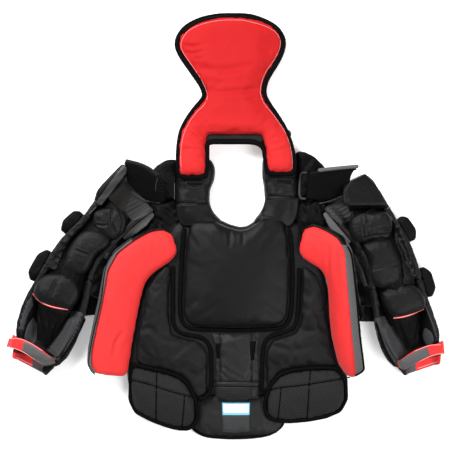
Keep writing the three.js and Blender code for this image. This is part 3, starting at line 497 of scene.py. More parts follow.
# Pads and cloth, each from its CAD node. Columns: look, step of the skin, reach of its rounded
# corners, growth, swell under pressure and slack, height and pitch of the folds, share of filling.
# Lengths are in millimetres.
SINGLE = {
    "torso_panel": ("nylon", 5, 30, 6.5, None, (0.5, 34), 0.6),
    "chest_pad": ("lining", 5, 30, 1.4, (5, 0.0), (0.35, 60), 0.9),
    "belly_center": ("belly", 4.4, 14, 0.8, (3, 0.02), (0.6, 34), 0.5),
    "tail_flap": ("belly", 4.4, 24, 3.2, (2, 0.02), (0.6, 36), 0.5),
    "back_flap": ("scarlet", 5.3, 17, 4.2, (5, 0.02), (0.5, 44), 0.8),
    "collar_band": ("quilt", 2, 0, 0.3, None, None, 0.4),
    "chest_binding": ("tape", 1.7, 40, 1.2, None, None, None),
    "flap_binding": ("tape", 1.7, 40, 2.7, None, None, None),
}
PAIRED = {
    "side_panel": ("net", 5, 14, 1.0, (4, 0.02), (0.7, 38), 0.5),
    "hip_flap": ("quilt", 4.4, 16, 3.2, (3, 0.01), (0.4, 40), 0.6),
    "wing": ("red", 5, 24, 3.2, (5, 0.0), (0.35, 55), 0.9),
    "yoke": ("nylon", 5, 20, 1.6, (2, 0.01), (0.5, 30), 0.7),
    # the shoulder panels, underarms, sleeves and elbow tabs take a darker black that paints the shade on
    # them
    "shoulder_panel": ("dusk", 4.4, 20, 1.0, (3, 0.03), (1.0, 24), 0.5),
    "underarm": ("dusk", 4, 16, 0.8, (4, 0.06), (2.4, 22), 0.3),
    "upper_arm_shell": ("nylon", 3.6, 0, 0.3, None, (0.9, 22), 0.6),
    "forearm_shell": ("nylon", 3.6, 0, 0.3, None, (0.9, 22), 0.6),
    "shoulder_cap": ("cap", 2.2, 12, 1.0, None, (0.3, 40), 0.9),
    "bicep_plate": ("nylon", 2.2, 12, 1.0, None, (0.2, 40), 0.9),
    "armpit_flap": ("webbing", 1.8, 0, 0.3, None, (0.5, 22), 0.4),
    "sleeve": ("dusk", 1.7, 0, 0.3, None, (0.6, 40), 0.2),
    "forearm_panel": ("mesh", 1.6, 0, 0.3, None, (0.3, 30), 0.4),
    "elbow_tab_upper": ("dusk", 2.4, 14, 0.8, None, (0.3, 24), 0.8),
    "elbow_tab_lower": ("dusk", 2.4, 14, 0.8, None, (0.3, 24), 0.8),
    "elbow_guard": ("nylon", 2.4, 14, 0.5, None, (1.0, 20), 0.6),
    "wing_gusset": ("rim", 1.4, 20, 1.2, None, None, 0.5),
    "panel_binding": ("tape", 1.7, 30, 1.2, None, None, None),
    "hip_binding": ("tape", 1.7, 16, 1.8, None, None, None),
    "wrist_strap": ("red", 1.5, 10, 0.8, None, None, None),
    "strap_tab": ("webbing", 1.5, 10, 0.8, None, None, None),
    "cuff": ("red", 1.9, 12, 0.8, None, (0.4, 24), 0.3),
}
ROUNDING = 9
ROUNDING_AFTER = 2
SEEDS = {"single": 100, "paired": 200, "gathers": 300, "arm_pads": 400, "levels": 700, "folds": 800}


def soft_piece(node, row, seed):
    """Makes the cloth of one CAD node from its row."""
    style, step, reach, growth, puffed, folds, fill = row
    obj = skinned(node, node + ".cloth", step, reach)
    smooth(obj, ROUNDING)
    grow(obj, growth)
    if puffed:
        puff(obj, *puffed)
        divide(obj)
        smooth(obj, ROUNDING_AFTER)
    if folds:
        crumple(obj, *folds, seed)
    dress(obj, node, style)


for order, (part, row) in enumerate(SINGLE.items()):
    soft_piece(part, row, SEEDS["single"] + order)
for order, (part, row) in enumerate(PAIRED.items()):
    for turn, side in enumerate(SIDES):
        soft_piece(f"{part}_{side}", row, SEEDS["paired"] + 2 * order + turn)
made["hip_flap_right"].data.materials[0] = LOOKS["ribbing"]


def tree_of(*parts):
    """What trim is laid on: the finished surfaces of some pieces."""
    places, faces = [], []
    for part in parts:
        mesh = made[part].data
        start = len(places)
        places.extend(points(made[part]).tolist())
        faces.extend([[start + k for k in face.vertices] for face in mesh.polygons])
    return BVHTree.FromPolygons(places, faces)


SKY = 0.3  # height that trim is dropped from


def drop(tree, flat, missing):
    """Height of a surface under the sky at one place, or the value for none."""
    hit = tree.ray_cast(Vector((flat[0], flat[1], SKY)), Vector((0, 0, -1)))[0]
    return missing if hit is None else hit.z


def drops(tree, flat):
    """Heights of a surface along a run of places, with those off it filled in from their neighbours."""
    heights = np.array([drop(tree, place, np.nan) for place in flat])
    found = ~np.isnan(heights)
    if not found.any():
        raise ValueError(f"no surface under the run from {flat[0]} to {flat[-1]}")
    return np.interp(np.arange(len(flat)), np.where(found)[0], heights[found])


def settle(heights, rounds):
    """Lets a laid cloth bridge small dips, as a grid of heights."""
    for _ in range(rounds):
        wide = np.pad(heights, 1, mode="edge")
        around = (wide[:-2, 1:-1] + wide[2:, 1:-1] + wide[1:-1, :-2] + wide[1:-1, 2:]) / 4
        heights = np.maximum(heights, around)
    return heights


# Arm pads

RING_COUNT = 84  # points round a pad
RINGS = 16
RING_SMOOTHING = 5
CROWN_POWER = 4  # how late the top of a pad bends down towards its rim
PAD_DEPTH = 1.35  # depth of a pad in its middle, as a share of its rounded side
PAD_HOLLOW = 0.35  # share by which it is less deep at its rim


def outline_ring(path):
    """A closed outline of photo pixels as even places, with rounded corners."""
    corners = run(path)
    closed = np.vstack([corners, corners[:1]])
    along = np.concatenate([[0], np.cumsum(np.linalg.norm(np.diff(closed, axis=0), axis=1))])
    even = np.linspace(0, along[-1], RING_COUNT, endpoint=False)
    ring = np.column_stack([np.interp(even, along, closed[:, k]) for k in (0, 1)])
    for _ in range(RING_SMOOTHING):
        ring = (np.roll(ring, 1, 0) + 2 * ring + np.roll(ring, -1, 0)) / 4
    return ring


def top_plane(node, flat):
    """Heights at some places of the plane that fits the top of a CAD node best."""
    top = points(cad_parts[node])
    top = top[top[:, 2] > np.median(top[:, 2])]
    terms = np.column_stack([np.ones(len(top)), top[:, :2]])
    fit = np.linalg.lstsq(terms, top[:, 2], rcond=None)[0]
    return np.column_stack([np.ones(len(flat)), flat]) @ fit


def pillow(node, path, crown):
    """A closed pad with an outline in photo pixels, as high as its CAD node, rounded to its rim."""
    ring = outline_ring(path)
    middle = ring.mean(0)
    shares = np.repeat(np.arange(1, RINGS + 1) / RINGS, RING_COUNT)[:, None]
    flat = np.vstack([middle[None], middle + (np.tile(ring, (RINGS, 1)) - middle) * shares])
    shares = np.concatenate([[0], shares[:, 0]])
    level = top_plane(node, flat)
    upper = level - crown * MM * (1 - np.sqrt(1 - shares**CROWN_POWER))
    inner = np.arange(len(shares)) <= (RINGS - 1) * RING_COUNT
    lower = level - crown * MM * (PAD_DEPTH - PAD_HOLLOW * shares**2)
    places = np.vstack([np.column_stack([flat, upper]), np.column_stack([flat, lower])[inner]])
    faces = []
    for start, last in ((0, RINGS), (len(flat), RINGS - 1)):
        for k in range(RING_COUNT):
            n = (k + 1) % RING_COUNT
            faces.append((start, start + 1 + k, start + 1 + n))
            for r in range(last - 1):
                a = start + 1 + r * RING_COUNT
                b = a + RING_COUNT
                faces.append((a + k, b + k, b + n, a + n))
    for k in range(RING_COUNT):
        n = (k + 1) % RING_COUNT
        a = len(flat) + 1 + (RINGS - 2) * RING_COUNT
        b = 1 + (RINGS - 1) * RING_COUNT
        faces.append((a + k, b + k, b + n, a + n))
    mesh = bpy.data.meshes.new(node)
    mesh.from_pydata(places.tolist(), [], faces)
    mesh.update()
    face_out(mesh)
    return new_piece(node + ".cloth", mesh)


# Columns: outline, depth of the rounded side, (swell, slack), (fold height, pitch), share of filling
ARM_PADS = {
    "bicep_pad_left": ([(93, 224), (95, 212), (105, 207.5), (116, 207.5), (125, 210), (129, 220),
      (126, 233), (115, 241), (104, 238)], 16, (4, 0.02), (0.6, 30), 0.6),
    "elbow_pad_left": ([(60, 270), (64, 261), (67, 252), (73, 242), (79, 234), (86, 229.5), (96, 228),
      (106, 231.5), (113, 239), (110, 246), (98, 254), (95, 260), (90.5, 270), (85, 275), (74, 276)], 18,
      (5, 0.0), (0.2, 60), 0.8),
    "forearm_pad_left": ([(33, 292), (38, 281), (46, 273.5), (56, 271.5), (67, 272), (77, 278), (82, 289),
      (80.5, 300), (73, 309), (62, 308.5), (50, 305.5), (39, 300)], 18, (5, 0.0), (0.4, 44), 0.7),
    "bicep_pad_right": ([(348, 219), (357, 212.5), (372, 211), (386, 211), (391, 219), (392, 227),
      (389, 239), (375, 242), (361, 244), (351, 241), (347, 230)], 16, (4, 0.02), (0.6, 30), 0.6),
    "elbow_pad_right": ([(360, 243), (373, 239), (389, 237), (394, 249), (400, 261), (402, 275),
      (400, 283), (391, 287), (381, 290), (371, 285), (367, 276), (369, 264), (366, 254)], 18, (5, 0.0),
      (0.2, 60), 0.8),
    "forearm_pad_right": ([(379, 291), (388, 286.5), (400, 283), (412, 283), (420, 289), (425, 299),
      (425, 308), (412, 313), (402, 316.5), (392, 318), (384, 310), (379.5, 300)], 18, (5, 0.0),
      (0.4, 44), 0.7),
}
for order, (node, (path, crown, puffed, folds, fill)) in enumerate(ARM_PADS.items()):
    pad = pillow(node, path, crown)
    puff(pad, *puffed)
    divide(pad)
    crumple(pad, *folds, SEEDS["arm_pads"] + order)
    dress(pad, node, "nylon")

# The neck's lower edge, which the chest pad and what is under it follow
NECK_EDGE = [(184, 229), (188, 226), (192, 222.5), (200, 220), (207, 218.5), (213, 216.5), (217, 217),
             (222, 219.8), (230, 223.3), (240, 225.8), (247, 225.2), (253, 221.5), (258, 217.5),
             (263, 214.5), (270, 215), (276, 216.5), (282, 219.5), (287, 225), (292, 230)]
NECK_FADE = 24  # photo pixels below the edge over which its shape fades out
NECK_ENDS = (206, 266)  # columns of the photo between which the torso follows it


def columns_of(places):
    """Columns of the photo that some places are under."""
    return places[:, 0] / PIXEL + ORIGIN_PX[0]


for part in ("chest_pad", "chest_binding", "torso_panel"):
    places = points(made[part])
    across = columns_of(places)
    down = ORIGIN_PX[1] - places[:, 1] / PIXEL
    ends = NECK_ENDS if part == "torso_panel" else (NECK_EDGE[0][0], NECK_EDGE[-1][0])
    within = (across > ends[0]) & (across < ends[1])
    top = down[within].min()
    shift = np.interp(across, *np.array(NECK_EDGE).T) - top
    fade = np.clip(1 - (down - top) / NECK_FADE, 0, 1)
    places[:, 1] -= np.where(within, shift * fade, 0) * PIXEL
    put(made[part], places)

# The right wing widens downwards to its inner side, and the body reaches under both wings
WING_OUTER = [(344, 252), (345, 275), (347, 305), (351, 345), (354, 372)]
WING_EDGE = 10 * PIXEL  # breadth of the outer edge, over which the widening starts
WING_TOP = spot(0, 285)[1]
WING_RAMP = 50 * PIXEL
WING_TIP = spot(0, 377)[1]
WING_TIP_RAMP = 14 * PIXEL
WING_TIP_SHARE = 0.2
WING_WIDENING = 4.5 * PIXEL
BODY_CORE = 0.15  # half breadth of the body that stays
BODY_RAMP = 0.06
BODY_TOP = spot(0, 290)[1]
BODY_FADE = 40 * PIXEL
BODY_REACH = 5 * PIXEL
places = points(made["wing_right"])
inward = np.clip(distances(places[:, :2], run(WING_OUTER))[0] / WING_EDGE, 0, 1)
lower = np.clip((WING_TOP - places[:, 1]) / WING_RAMP, 0, 1)
tip = np.clip((places[:, 1] - WING_TIP) / WING_TIP_RAMP, WING_TIP_SHARE, 1)
places[:, 0] -= WING_WIDENING * inward * lower * tip
put(made["wing_right"], places)
places = points(made["torso_panel"])
outer = np.clip((np.abs(places[:, 0]) - BODY_CORE) / BODY_RAMP, 0, 1)
low = np.clip((BODY_TOP - places[:, 1]) / BODY_FADE, 0, 1)
places[:, 0] += BODY_REACH * outer * low * np.sign(places[:, 0])
put(made["torso_panel"], places)

# The tip of the right wing ends in a slant
TIP_END = [(330, 400), (344, 379), (349, 377.5), (362, 369.5), (370, 366)]
for part in ("wing_right", "wing_gusset_right"):
    places = points(made[part])
    across = columns_of(places)
    lowest = (ORIGIN_PX[1] - np.interp(across, *np.array(TIP_END).T)) * PIXEL
    places[:, 1] = np.maximum(places[:, 1], lowest)
    put(made[part], places)

# The grey sides of the wings reach down beside the red cloth
GUSSET_DEPTH = 9 * MM
for side in SIDES:
    gusset = made[f"wing_gusset_{side}"]
    places = points(gusset)
    places[:, 2] -= GUSSET_DEPTH * np.clip(-normals(gusset)[:, 2] * 2, 0, 1)
    put(gusset, places)

# The legs of the back flap reach down onto the yokes
LEG_TOP = spot(0, 150)[1]
LEG_STRETCH = 0.14
for part in ("back_flap", "flap_binding"):
    places = points(made[part])
    below = np.maximum(LEG_TOP - places[:, 1], 0)
    places[:, 1] -= LEG_STRETCH * below
    put(made[part], places)

# The legs of the back flap end square
LEG_SPANS = [(174, 214), (262, 300)]
LEG_COLUMNS = 13
LEG_FADE = 18 * PIXEL
LEG_PULL = 9 * PIXEL
for part in ("back_flap", "flap_binding"):
    places = points(made[part])
    for span in LEG_SPANS:
        edges = run([(x, 0) for x in span])[:, 0]
        leg = (places[:, 0] > edges[0]) & (places[:, 0] < edges[1]) & (places[:, 1] < LEG_TOP)
        across, up = places[leg, 0], places[leg, 1]
        columns = np.linspace(across.min(), across.max(), LEG_COLUMNS + 1)
        ends = [up[(across >= a) & (across <= b)].min() for a, b in zip(columns[:-1], columns[1:])]
        end_of = np.interp(across, (columns[:-1] + columns[1:]) / 2, ends)
        pulled = np.minimum(end_of - up.min(), LEG_PULL)
        places[leg, 1] = up - pulled * np.clip(1 - (up - end_of) / LEG_FADE, 0, 1)
    put(made[part], places)

# The ends of the strap tabs are tucked in
TUCKS = {"left": ((51, 359), (0.8, 0.6)), "right": ((403, 364), (-0.8, 0.6))}
TUCKED = 0.65  # share of their length beyond a start that is taken in
for side, (start, heading) in TUCKS.items():
    heading = np.array(heading) * (1, -1)
    for part in (f"strap_tab_{side}", f"wrist_strap_{side}"):
        places = points(made[part])
        beyond = np.maximum((places[:, :2] - spot(*start)) @ heading, 0)
        places[:, :2] -= TUCKED * np.outer(beyond, heading)
        put(made[part], places)

# The collar band reaches down and sideways to the bound edge
BAND_STRETCH = 1.75
BAND_WIDENING = 1.08
band = made["collar_band"]
places = points(band)
top = places[:, 1].max()
centre = (places[:, 0].min() + places[:, 0].max()) / 2
places[:, 1] = top - (top - places[:, 1]) * BAND_STRETCH
places[:, 0] = centre + (places[:, 0] - centre) * BAND_WIDENING
put(band, places)

# The right bicep plate reaches over the end of the cap
PLATE_REACH = 10 * MM
PLATE_EDGE = 0.272
PLATE_RAMP = 0.035
plate = made["bicep_plate_right"]
places = points(plate)
places[:, 0] -= PLATE_REACH * np.clip((PLATE_EDGE - places[:, 0]) / PLATE_RAMP, 0, 1)
put(plate, places)

# Gathers beside bound edges
PUCKERS = [
    ("chest_pad", "chest_binding", 0.6),
    ("side_panel_left", "panel_binding_left", 0.7),
    ("side_panel_right", "panel_binding_right", 0.7),
    ("hip_flap_left", "hip_binding_left", 0.6),
    ("hip_flap_right", "hip_binding_right", 0.6),
    ("back_flap", "flap_binding", 0.9),
]
for order, (part, edge, height) in enumerate(PUCKERS):
    pucker(made[part], made[edge], height, SEEDS["gathers"] + order)

# Creases of the cloth: where each runs, its depth and half width in millimetres
CREASES = [
    ("chest_pad", [(230, 230), (230, 247)], 1.6, 4),
    ("chest_pad", [(243, 232), (243, 245)], 1.4, 4),
    ("back_flap", [(196, 68), (222, 71), (256, 66)], 3.6, 8),
    ("back_flap", [(204, 91), (225, 93), (262, 88)], 3.2, 6),
    ("back_flap", [(182, 44), (192, 47), (203, 45)], 2.4, 4),
    ("back_flap", [(183, 52), (193, 54), (204, 51)], 2.4, 4),
    ("back_flap", [(186, 57), (199, 58)], 2.0, 4),
    ("back_flap", [(193, 126), (207, 139)], 2.6, 3),
    ("back_flap", [(188, 132), (206, 143)], 2.6, 3),
    ("back_flap", [(185, 140), (206, 147)], 2.2, 3),
    ("back_flap", [(183, 149), (204, 151)], 1.8, 3),
    ("back_flap", [(268, 146), (284, 142)], 2.2, 3),
    ("back_flap", [(269, 153), (288, 148)], 2.0, 3),
    ("back_flap", [(246, 101), (257, 98)], 1.8, 3),
    ("wing_left", [(124, 330), (117, 342), (115, 352), (114, 358)], 3.0, 5),
    ("wing_left", [(154, 242), (153, 255), (151, 268)], 1.4, 3),
    ("wing_left", [(118, 262), (128, 285), (130, 300)], 0.8, 9),
    ("wing_right", [(318, 236), (320, 262)], 1.2, 5),
    ("wing_right", [(334, 250), (338, 290)], 0.9, 6),
    ("belly_center", [(216, 362), (222, 372), (229, 381)], 1.8, 3.5),
    ("belly_center", [(220, 365), (232, 373), (244, 379)], 1.8, 3.5),
    ("belly_center", [(252, 366), (246, 378)], 1.2, 3.5),
    ("side_panel_left", [(197, 338), (180, 350), (167, 363)], 2.4, 6),
    ("side_panel_left", [(207, 352), (195, 362), (186, 374)], 1.8, 6),
    ("side_panel_left", [(172, 285), (160, 305), (152, 330)], 1.4, 8),
    ("side_panel_left", [(150, 340), (160, 366)], 1.2, 6),
    ("side_panel_right", [(268, 344), (290, 350), (318, 345)], 1.8, 6),
    ("side_panel_right", [(302, 285), (316, 312), (326, 340)], 1.6, 8),
    ("side_panel_right", [(300, 330), (294, 350), (292, 365)], 1.2, 6),
    ("elbow_pad_left", [(76, 249), (82, 252), (90, 254.5)], 1.4, 2.5),
    ("elbow_pad_right", [(371, 269.5), (384, 267), (401, 263)], 1.6, 2.5),
    ("bicep_pad_left", [(112, 213), (113, 224), (117, 235)], 1.6, 2.5),
    ("bicep_pad_left", [(121, 211), (124, 222), (121, 233)], 1.4, 2.0),
    ("bicep_pad_left", [(96, 224.5), (104, 226), (110, 225)], 1.6, 2.5),
    ("bicep_pad_right", [(361, 215), (361.5, 228), (363, 239)], 1.4, 2.2),
    ("bicep_pad_right", [(365.5, 214), (366, 228), (366, 237)], 1.2, 2.2),
    ("bicep_pad_right", [(376, 231.5), (384, 228.5), (392, 228)], 2.4, 3.0),
    ("bicep_pad_right", [(360, 238.5), (374, 235), (389, 234)], 1.8, 2.5),
    ("forearm_pad_left", [(58, 279), (54, 296)], 1.6, 5),
    ("sleeve_left", [(37, 304), (42, 322), (46, 343)], 2.2, 4),
    ("sleeve_left", [(62, 312), (57, 328), (52, 344)], 2.2, 4),
    ("sleeve_left", [(49, 310), (49, 326), (48, 340)], 1.6, 3),
    ("sleeve_right", [(396, 321), (402, 336), (408, 348)], 2.2, 4),
    ("sleeve_right", [(420, 315), (417, 332), (412, 348)], 2.2, 4),
    ("sleeve_right", [(408, 320), (410, 336)], 1.6, 3),
    ("shoulder_cap_left", [(158, 181), (164, 180.5), (169, 178)], 0.9, 1.3),
    ("shoulder_cap_left", [(158, 184), (164, 184), (169, 182)], 0.9, 1.3),
    ("shoulder_cap_left", [(158, 187), (164, 187.5), (169, 187)], 0.9, 1.3),
    ("shoulder_cap_left", [(158, 190), (164, 191), (169, 191)], 0.9, 1.3),
    ("shoulder_panel_left", [(158, 182), (166, 184), (171, 189)], 1.8, 2.2),
    ("shoulder_panel_left", [(161, 192), (170, 194)], 1.8, 2.2),
    ("forearm_pad_right", [(384, 292), (394, 289), (404, 291)], 1.4, 5),
]
for part, path, depth, width in CREASES:
    groove(made[part], path, depth, width, True)

# Sewn channels and seams
HIP_LEFT_BAND = [(128, 379), (150, 384), (160, 387.5), (180, 393.5), (200, 398)]
HIP_RIGHT_BAND = [(259, 392), (280, 387), (295, 385.5), (310, 383.5), (350, 377)]
SEAMS = [
    ("hip_flap_left", HIP_LEFT_BAND, 3.2, 3.2),
    ("hip_flap_left", [(157, 370), (156, 420)], 1.8, 2.4),
    ("hip_flap_left", [(185, 395), (182, 428)], 1.8, 2.4),
    ("hip_flap_right", HIP_RIGHT_BAND, 3.2, 3.2),
    ("hip_flap_right", [(311, 364), (309, 384)], 1.8, 2.4),
    ("hip_flap_right", [(309, 384), (307, 420)], 1.8, 2.4),
    ("hip_flap_right", [(281, 387), (277.5, 422)], 1.8, 2.4),
    ("yoke_left", [(177, 203), (210, 203)], 1.8, 2.4),
    ("yoke_left", [(188, 185), (202, 185)], 5.0, 2.6),
    ("yoke_right", [(265, 196), (299, 196)], 1.8, 2.4),
    ("yoke_right", [(277, 182), (291, 182)], 5.0, 2.6),
    ("belly_center", [(212, 381), (262, 381)], 1.4, 2.4),
    ("belly_center", [(212, 386), (262, 386)], 1.4, 2.4),
    ("belly_center", [(220, 332), (220, 381)], 1.2, 2.4),
    ("belly_center", [(252, 332), (252, 381)], 1.2, 2.4),
]
for part, path, depth, width in SEAMS:
    groove(made[part], path, depth, width, False)


# Trim laid on the cloth

TUBE_END = 0.55  # size of the last rings of a tube
LINE_STEP = 3 * MM
LINE_SMOOTHING = 3
PIPE_LIFT = 0.35  # height of a pipe's middle over its bed, as a share of its radius


def curve_through(places, step):
    """A smooth open curve through places, in even steps."""
    places = np.asarray(places, float)
    ends = np.vstack([2 * places[0] - places[1], places, 2 * places[-1] - places[-2]])
    fine = []
    for a, b, c, d in zip(ends[:-3], ends[1:-2], ends[2:-1], ends[3:]):
        count = max(2, int(np.linalg.norm(c - b) / step))
        for t in np.linspace(0, 1, count, endpoint=False):
            square = (2 * a - 5 * b + 4 * c - d) * t**2
            cube = (3 * b - a - 3 * c + d) * t**3
            fine.append(0.5 * (2 * b + (c - a) * t + square + cube))
    fine.append(places[-1])
    return np.array(fine)


def tube_mesh(name, line, radius, sides=8):
    """A closed tube along a line, with narrower ends."""
    heading = np.gradient(line, axis=0)
    heading /= np.linalg.norm(heading, axis=1, keepdims=True)
    lateral = np.cross(heading, (0, 0, 1.0))
    lateral /= np.maximum(np.linalg.norm(lateral, axis=1, keepdims=True), 1e-9)
    over = np.cross(lateral, heading)
    size = np.ones(len(line))
    size[0] = size[-1] = TUBE_END
    rings = []
    for k in range(sides):
        angle = 2 * math.pi * k / sides
        around = math.cos(angle) * lateral + math.sin(angle) * over
        rings.append(line + radius * size[:, None] * around)
    places = np.stack(rings, 1).reshape(-1, 3)
    faces = []
    for i in range(len(line) - 1):
        for k in range(sides):
            n = (k + 1) % sides
            faces.append((i * sides + k, i * sides + n, (i + 1) * sides + n, (i + 1) * sides + k))
    faces.append(tuple(reversed(range(sides))))
    faces.append(tuple(range((len(line) - 1) * sides, len(line) * sides)))
    mesh = bpy.data.meshes.new(name)
    mesh.from_pydata(places.tolist(), [], faces)
    mesh.update()
    face_out(mesh)
    return mesh


def laid_line(path, parts, lift):
    """A smooth line over some pieces along a path of photo pixels."""
    flat = curve_through(run(path), LINE_STEP)
    heights = drops(tree_of(*parts), flat)
    for _ in range(LINE_SMOOTHING):
        heights[1:-1] = (heights[:-2] + 2 * heights[1:-1] + heights[2:]) / 4
    return np.column_stack([flat, heights + lift])


ARM_LEFT = ["forearm_pad_left", "sleeve_left", "forearm_shell_left", "upper_arm_shell_left",
            "elbow_pad_left"]
ARM_RIGHT = ["forearm_pad_right", "sleeve_right", "forearm_shell_right", "upper_arm_shell_right",
             "elbow_pad_right"]
STRAP_LEFT = ["wrist_strap_left", "strap_tab_left"]
STRAP_RIGHT = ["wrist_strap_right", "strap_tab_right"]
FOREARM_LINES = {
    "left": [(34, 293), (38, 299), (45, 303), (55, 306.5), (69, 309)],
    "right": [(392, 317.5), (402, 316), (412, 313), (423, 308.5)],
}
# Piping: path in photo pixels, radius in millimetres and the pieces it is sewn to
PIPES = [
    ("forearm_piping_left", "red", FOREARM_LINES["left"], 2.0, ARM_LEFT),
    ("forearm_piping_right", "red", FOREARM_LINES["right"], 2.0, ARM_RIGHT),
    ("cap_piping_left", "webbing", [(131, 191), (138, 196), (147, 201), (160, 203)], 1.2,
     ["shoulder_cap_left", "upper_arm_shell_left", "underarm_left"]),
    ("cap_piping_right", "webbing", [(319, 203.5), (330, 201), (344, 195.5)], 1.2,
     ["shoulder_cap_right", "upper_arm_shell_right", "underarm_right"]),
    ("cap_rim_left", "quilt", [(126.5, 161), (140, 164.5), (150, 169), (159, 176)], 3.4,
     ["shoulder_cap_left"]),
    ("cap_rim_right", "rim", [(317, 171), (330, 169.5), (345, 168), (357, 167)], 4.2,
     ["shoulder_cap_right"]),
    ("cap_lip_right", "tape", [(318, 174.2), (330, 172.6), (345, 171), (355, 170)], 1.7,
     ["shoulder_cap_right"]),
    ("cap_seam_left", "mesh", [(159, 174), (158, 179), (156.5, 186), (156, 192)], 0.9,
     ["shoulder_cap_left"]),
    ("plate_piping_right", "piping", [(379, 209.6), (385, 208.6), (390, 207.4)], 0.7,
     ["bicep_plate_right", "upper_arm_shell_right"]),
    ("loop_left", "webbing", [(174.5, 183), (174.5, 200)], 0.8, ["yoke_left", "shoulder_panel_left"]),
    ("loop_right", "mesh", [(307, 173), (301, 174), (299.5, 185), (300, 197), (306, 199)], 2.6,
     ["yoke_right", "shoulder_panel_right"]),
    ("panel_edge_left", "tape", [(86, 318), (79, 333), (71, 346), (61, 358)], 2.4,
     ["forearm_shell_left"]),
    ("panel_edge_right", "tape", [(375, 322), (380, 337), (386, 352), (394, 365)], 2.4,
     ["forearm_shell_right"]),
    ("forearm_line_right", "mesh", [(421, 297), (426, 310), (432, 325), (436, 337)], 1.7,
     ["forearm_shell_right"]),
    ("wing_edge_left", "tape", [(150, 229.5), (130, 240.5), (111, 257), (106, 272), (102, 300), (94, 335),
      (90, 360), (91.5, 369), (96, 374)], 1.3, ["wing_gusset_left"]),
    ("wing_edge_right", "tape", [(346, 246), (350, 255), (352, 270), (355, 300), (358, 335), (361.5, 362),
      (361, 368.5), (353, 374)], 2.2, ["wing_gusset_right"]),
    ("wall_piping_left", "webbing", [(97, 207), (87, 217), (74, 229), (63, 240), (54, 253)], 0.9,
     ARM_LEFT),
    ("wall_piping_right", "webbing", [(389, 216), (396, 228), (403, 242), (409, 258), (414, 276)], 0.9,
     ARM_RIGHT),
]


def pipe(name, style, path, radius, parts):
    """A round edging sewn to some pieces."""
    line = laid_line(path, parts, PIPE_LIFT * radius * MM)
    made[name] = new_piece(name, tube_mesh(name, line, radius * MM))
    dress(made[name], None, style)


for row in PIPES:
    pipe(*row)
SEAM_HALF = 0.9 * MM
HIP_SEAM_HALF = SEAM_HALF * 1.6
SEAM_LIFT = 0.1 * MM
SEAM_SIDES = 6
for order, (part, path, depth, width) in enumerate(SEAMS):
    line = laid_line(path, [part], SEAM_LIFT)
    name = f"{part}.seam{order}"
    radius = HIP_SEAM_HALF if part.startswith("hip") else SEAM_HALF
    dress(new_piece(name, tube_mesh(name, line, radius, SEAM_SIDES)), None, "seam")


def resample(path, count):
    """A path of photo pixels as that many even places."""
    flat = curve_through(run(path), MM)
    along = np.concatenate([[0], np.cumsum(np.linalg.norm(np.diff(flat, axis=0), axis=1))])
    even = np.linspace(0, along[-1], count)
    return np.column_stack([np.interp(even, along, flat[:, k]) for k in (0, 1)])


UNDERSIDE = 0.5 * MM  # how far a strip reaches into its bed
CLOTH_STEP = 2.5 * MM
CLOTH_RIM = 0.2 * MM  # thickness of a strip at its edge
BREADTHS = 9  # places where a strip's breadth is measured
LEVEL_PITCH = 16  # pitch in millimetres of the waves in a cloth that hangs at a level
LEVEL_WAVE = 2.2 * MM


def strip(name, style, one, other, parts, thick=1.2, bridging=0, levels=None, folds=None):
    """A thin piece of cloth between two paths of photo pixels, laid on pieces or at two levels in mm."""
    length = max(np.linalg.norm(np.diff(run(path), axis=0), axis=1).sum() for path in (one, other))
    breadth = np.linalg.norm(resample(one, BREADTHS) - resample(other, BREADTHS), axis=1).max()
    columns = max(6, int(length / CLOTH_STEP))
    rows = max(4, int(breadth / CLOTH_STEP))
    ends = resample(one, columns), resample(other, columns)
    shares = np.linspace(0, 1, rows)[:, None, None]
    flat = ends[0] * (1 - shares) + ends[1] * shares
    level_places = np.dstack([flat, 0 * flat[:, :, 0]]).reshape(-1, 3)
    if levels:
        slope = np.linspace(levels[0], levels[1], rows)[:, None] * MM
        fold = waves(level_places, LEVEL_PITCH, SEEDS["levels"] + columns).reshape(rows, columns)
        heights = slope + fold * LEVEL_WAVE
    else:
        tree = tree_of(*parts)
        bed = np.array([[drop(tree, place, 0.0) for place in row] for row in flat])
        heights = settle(bed, bridging)
    if folds:
        fold = waves(level_places, folds[1], SEEDS["folds"] + columns)
        heights = heights + (1 - np.abs(np.tanh(fold))).reshape(rows, columns) * folds[0] * MM
    heights = np.maximum(heights, UNDERSIDE)
    rise = np.full((rows, columns), thick * MM)
    rise[[0, -1], :] = CLOTH_RIM
    rise[:, [0, -1]] = CLOTH_RIM
    upper = np.dstack([flat, heights + rise]).reshape(-1, 3)
    lower = np.dstack([flat, heights - UNDERSIDE]).reshape(-1, 3)
    total = rows * columns
    faces = []
    for r in range(rows - 1):
        for c in range(columns - 1):
            a = r * columns + c
            quad = (a, a + 1, a + 1 + columns, a + columns)
            faces.append(quad)
            faces.append(tuple(total + k for k in reversed(quad)))
    rim = list(range(columns)) + [r * columns + columns - 1 for r in range(1, rows)]
    rim += [total - 1 - c for c in range(1, columns)] + [r * columns for r in range(rows - 2, 0, -1)]
    for a, b in zip(rim, rim[1:] + rim[:1]):
        faces.append((a, b, total + b, total + a))
    mesh = bpy.data.meshes.new(name)
    mesh.from_pydata(np.vstack([upper, lower]).tolist(), [], faces)
    mesh.update()
    face_out(mesh)
    obj = new_piece(name, mesh)
    dress(obj, None, style)
    made[name] = obj


BODY_LEFT = ["yoke_left", "chest_pad", "torso_panel", "chest_binding"]
BODY_RIGHT = ["yoke_right", "chest_pad", "torso_panel", "chest_binding"]
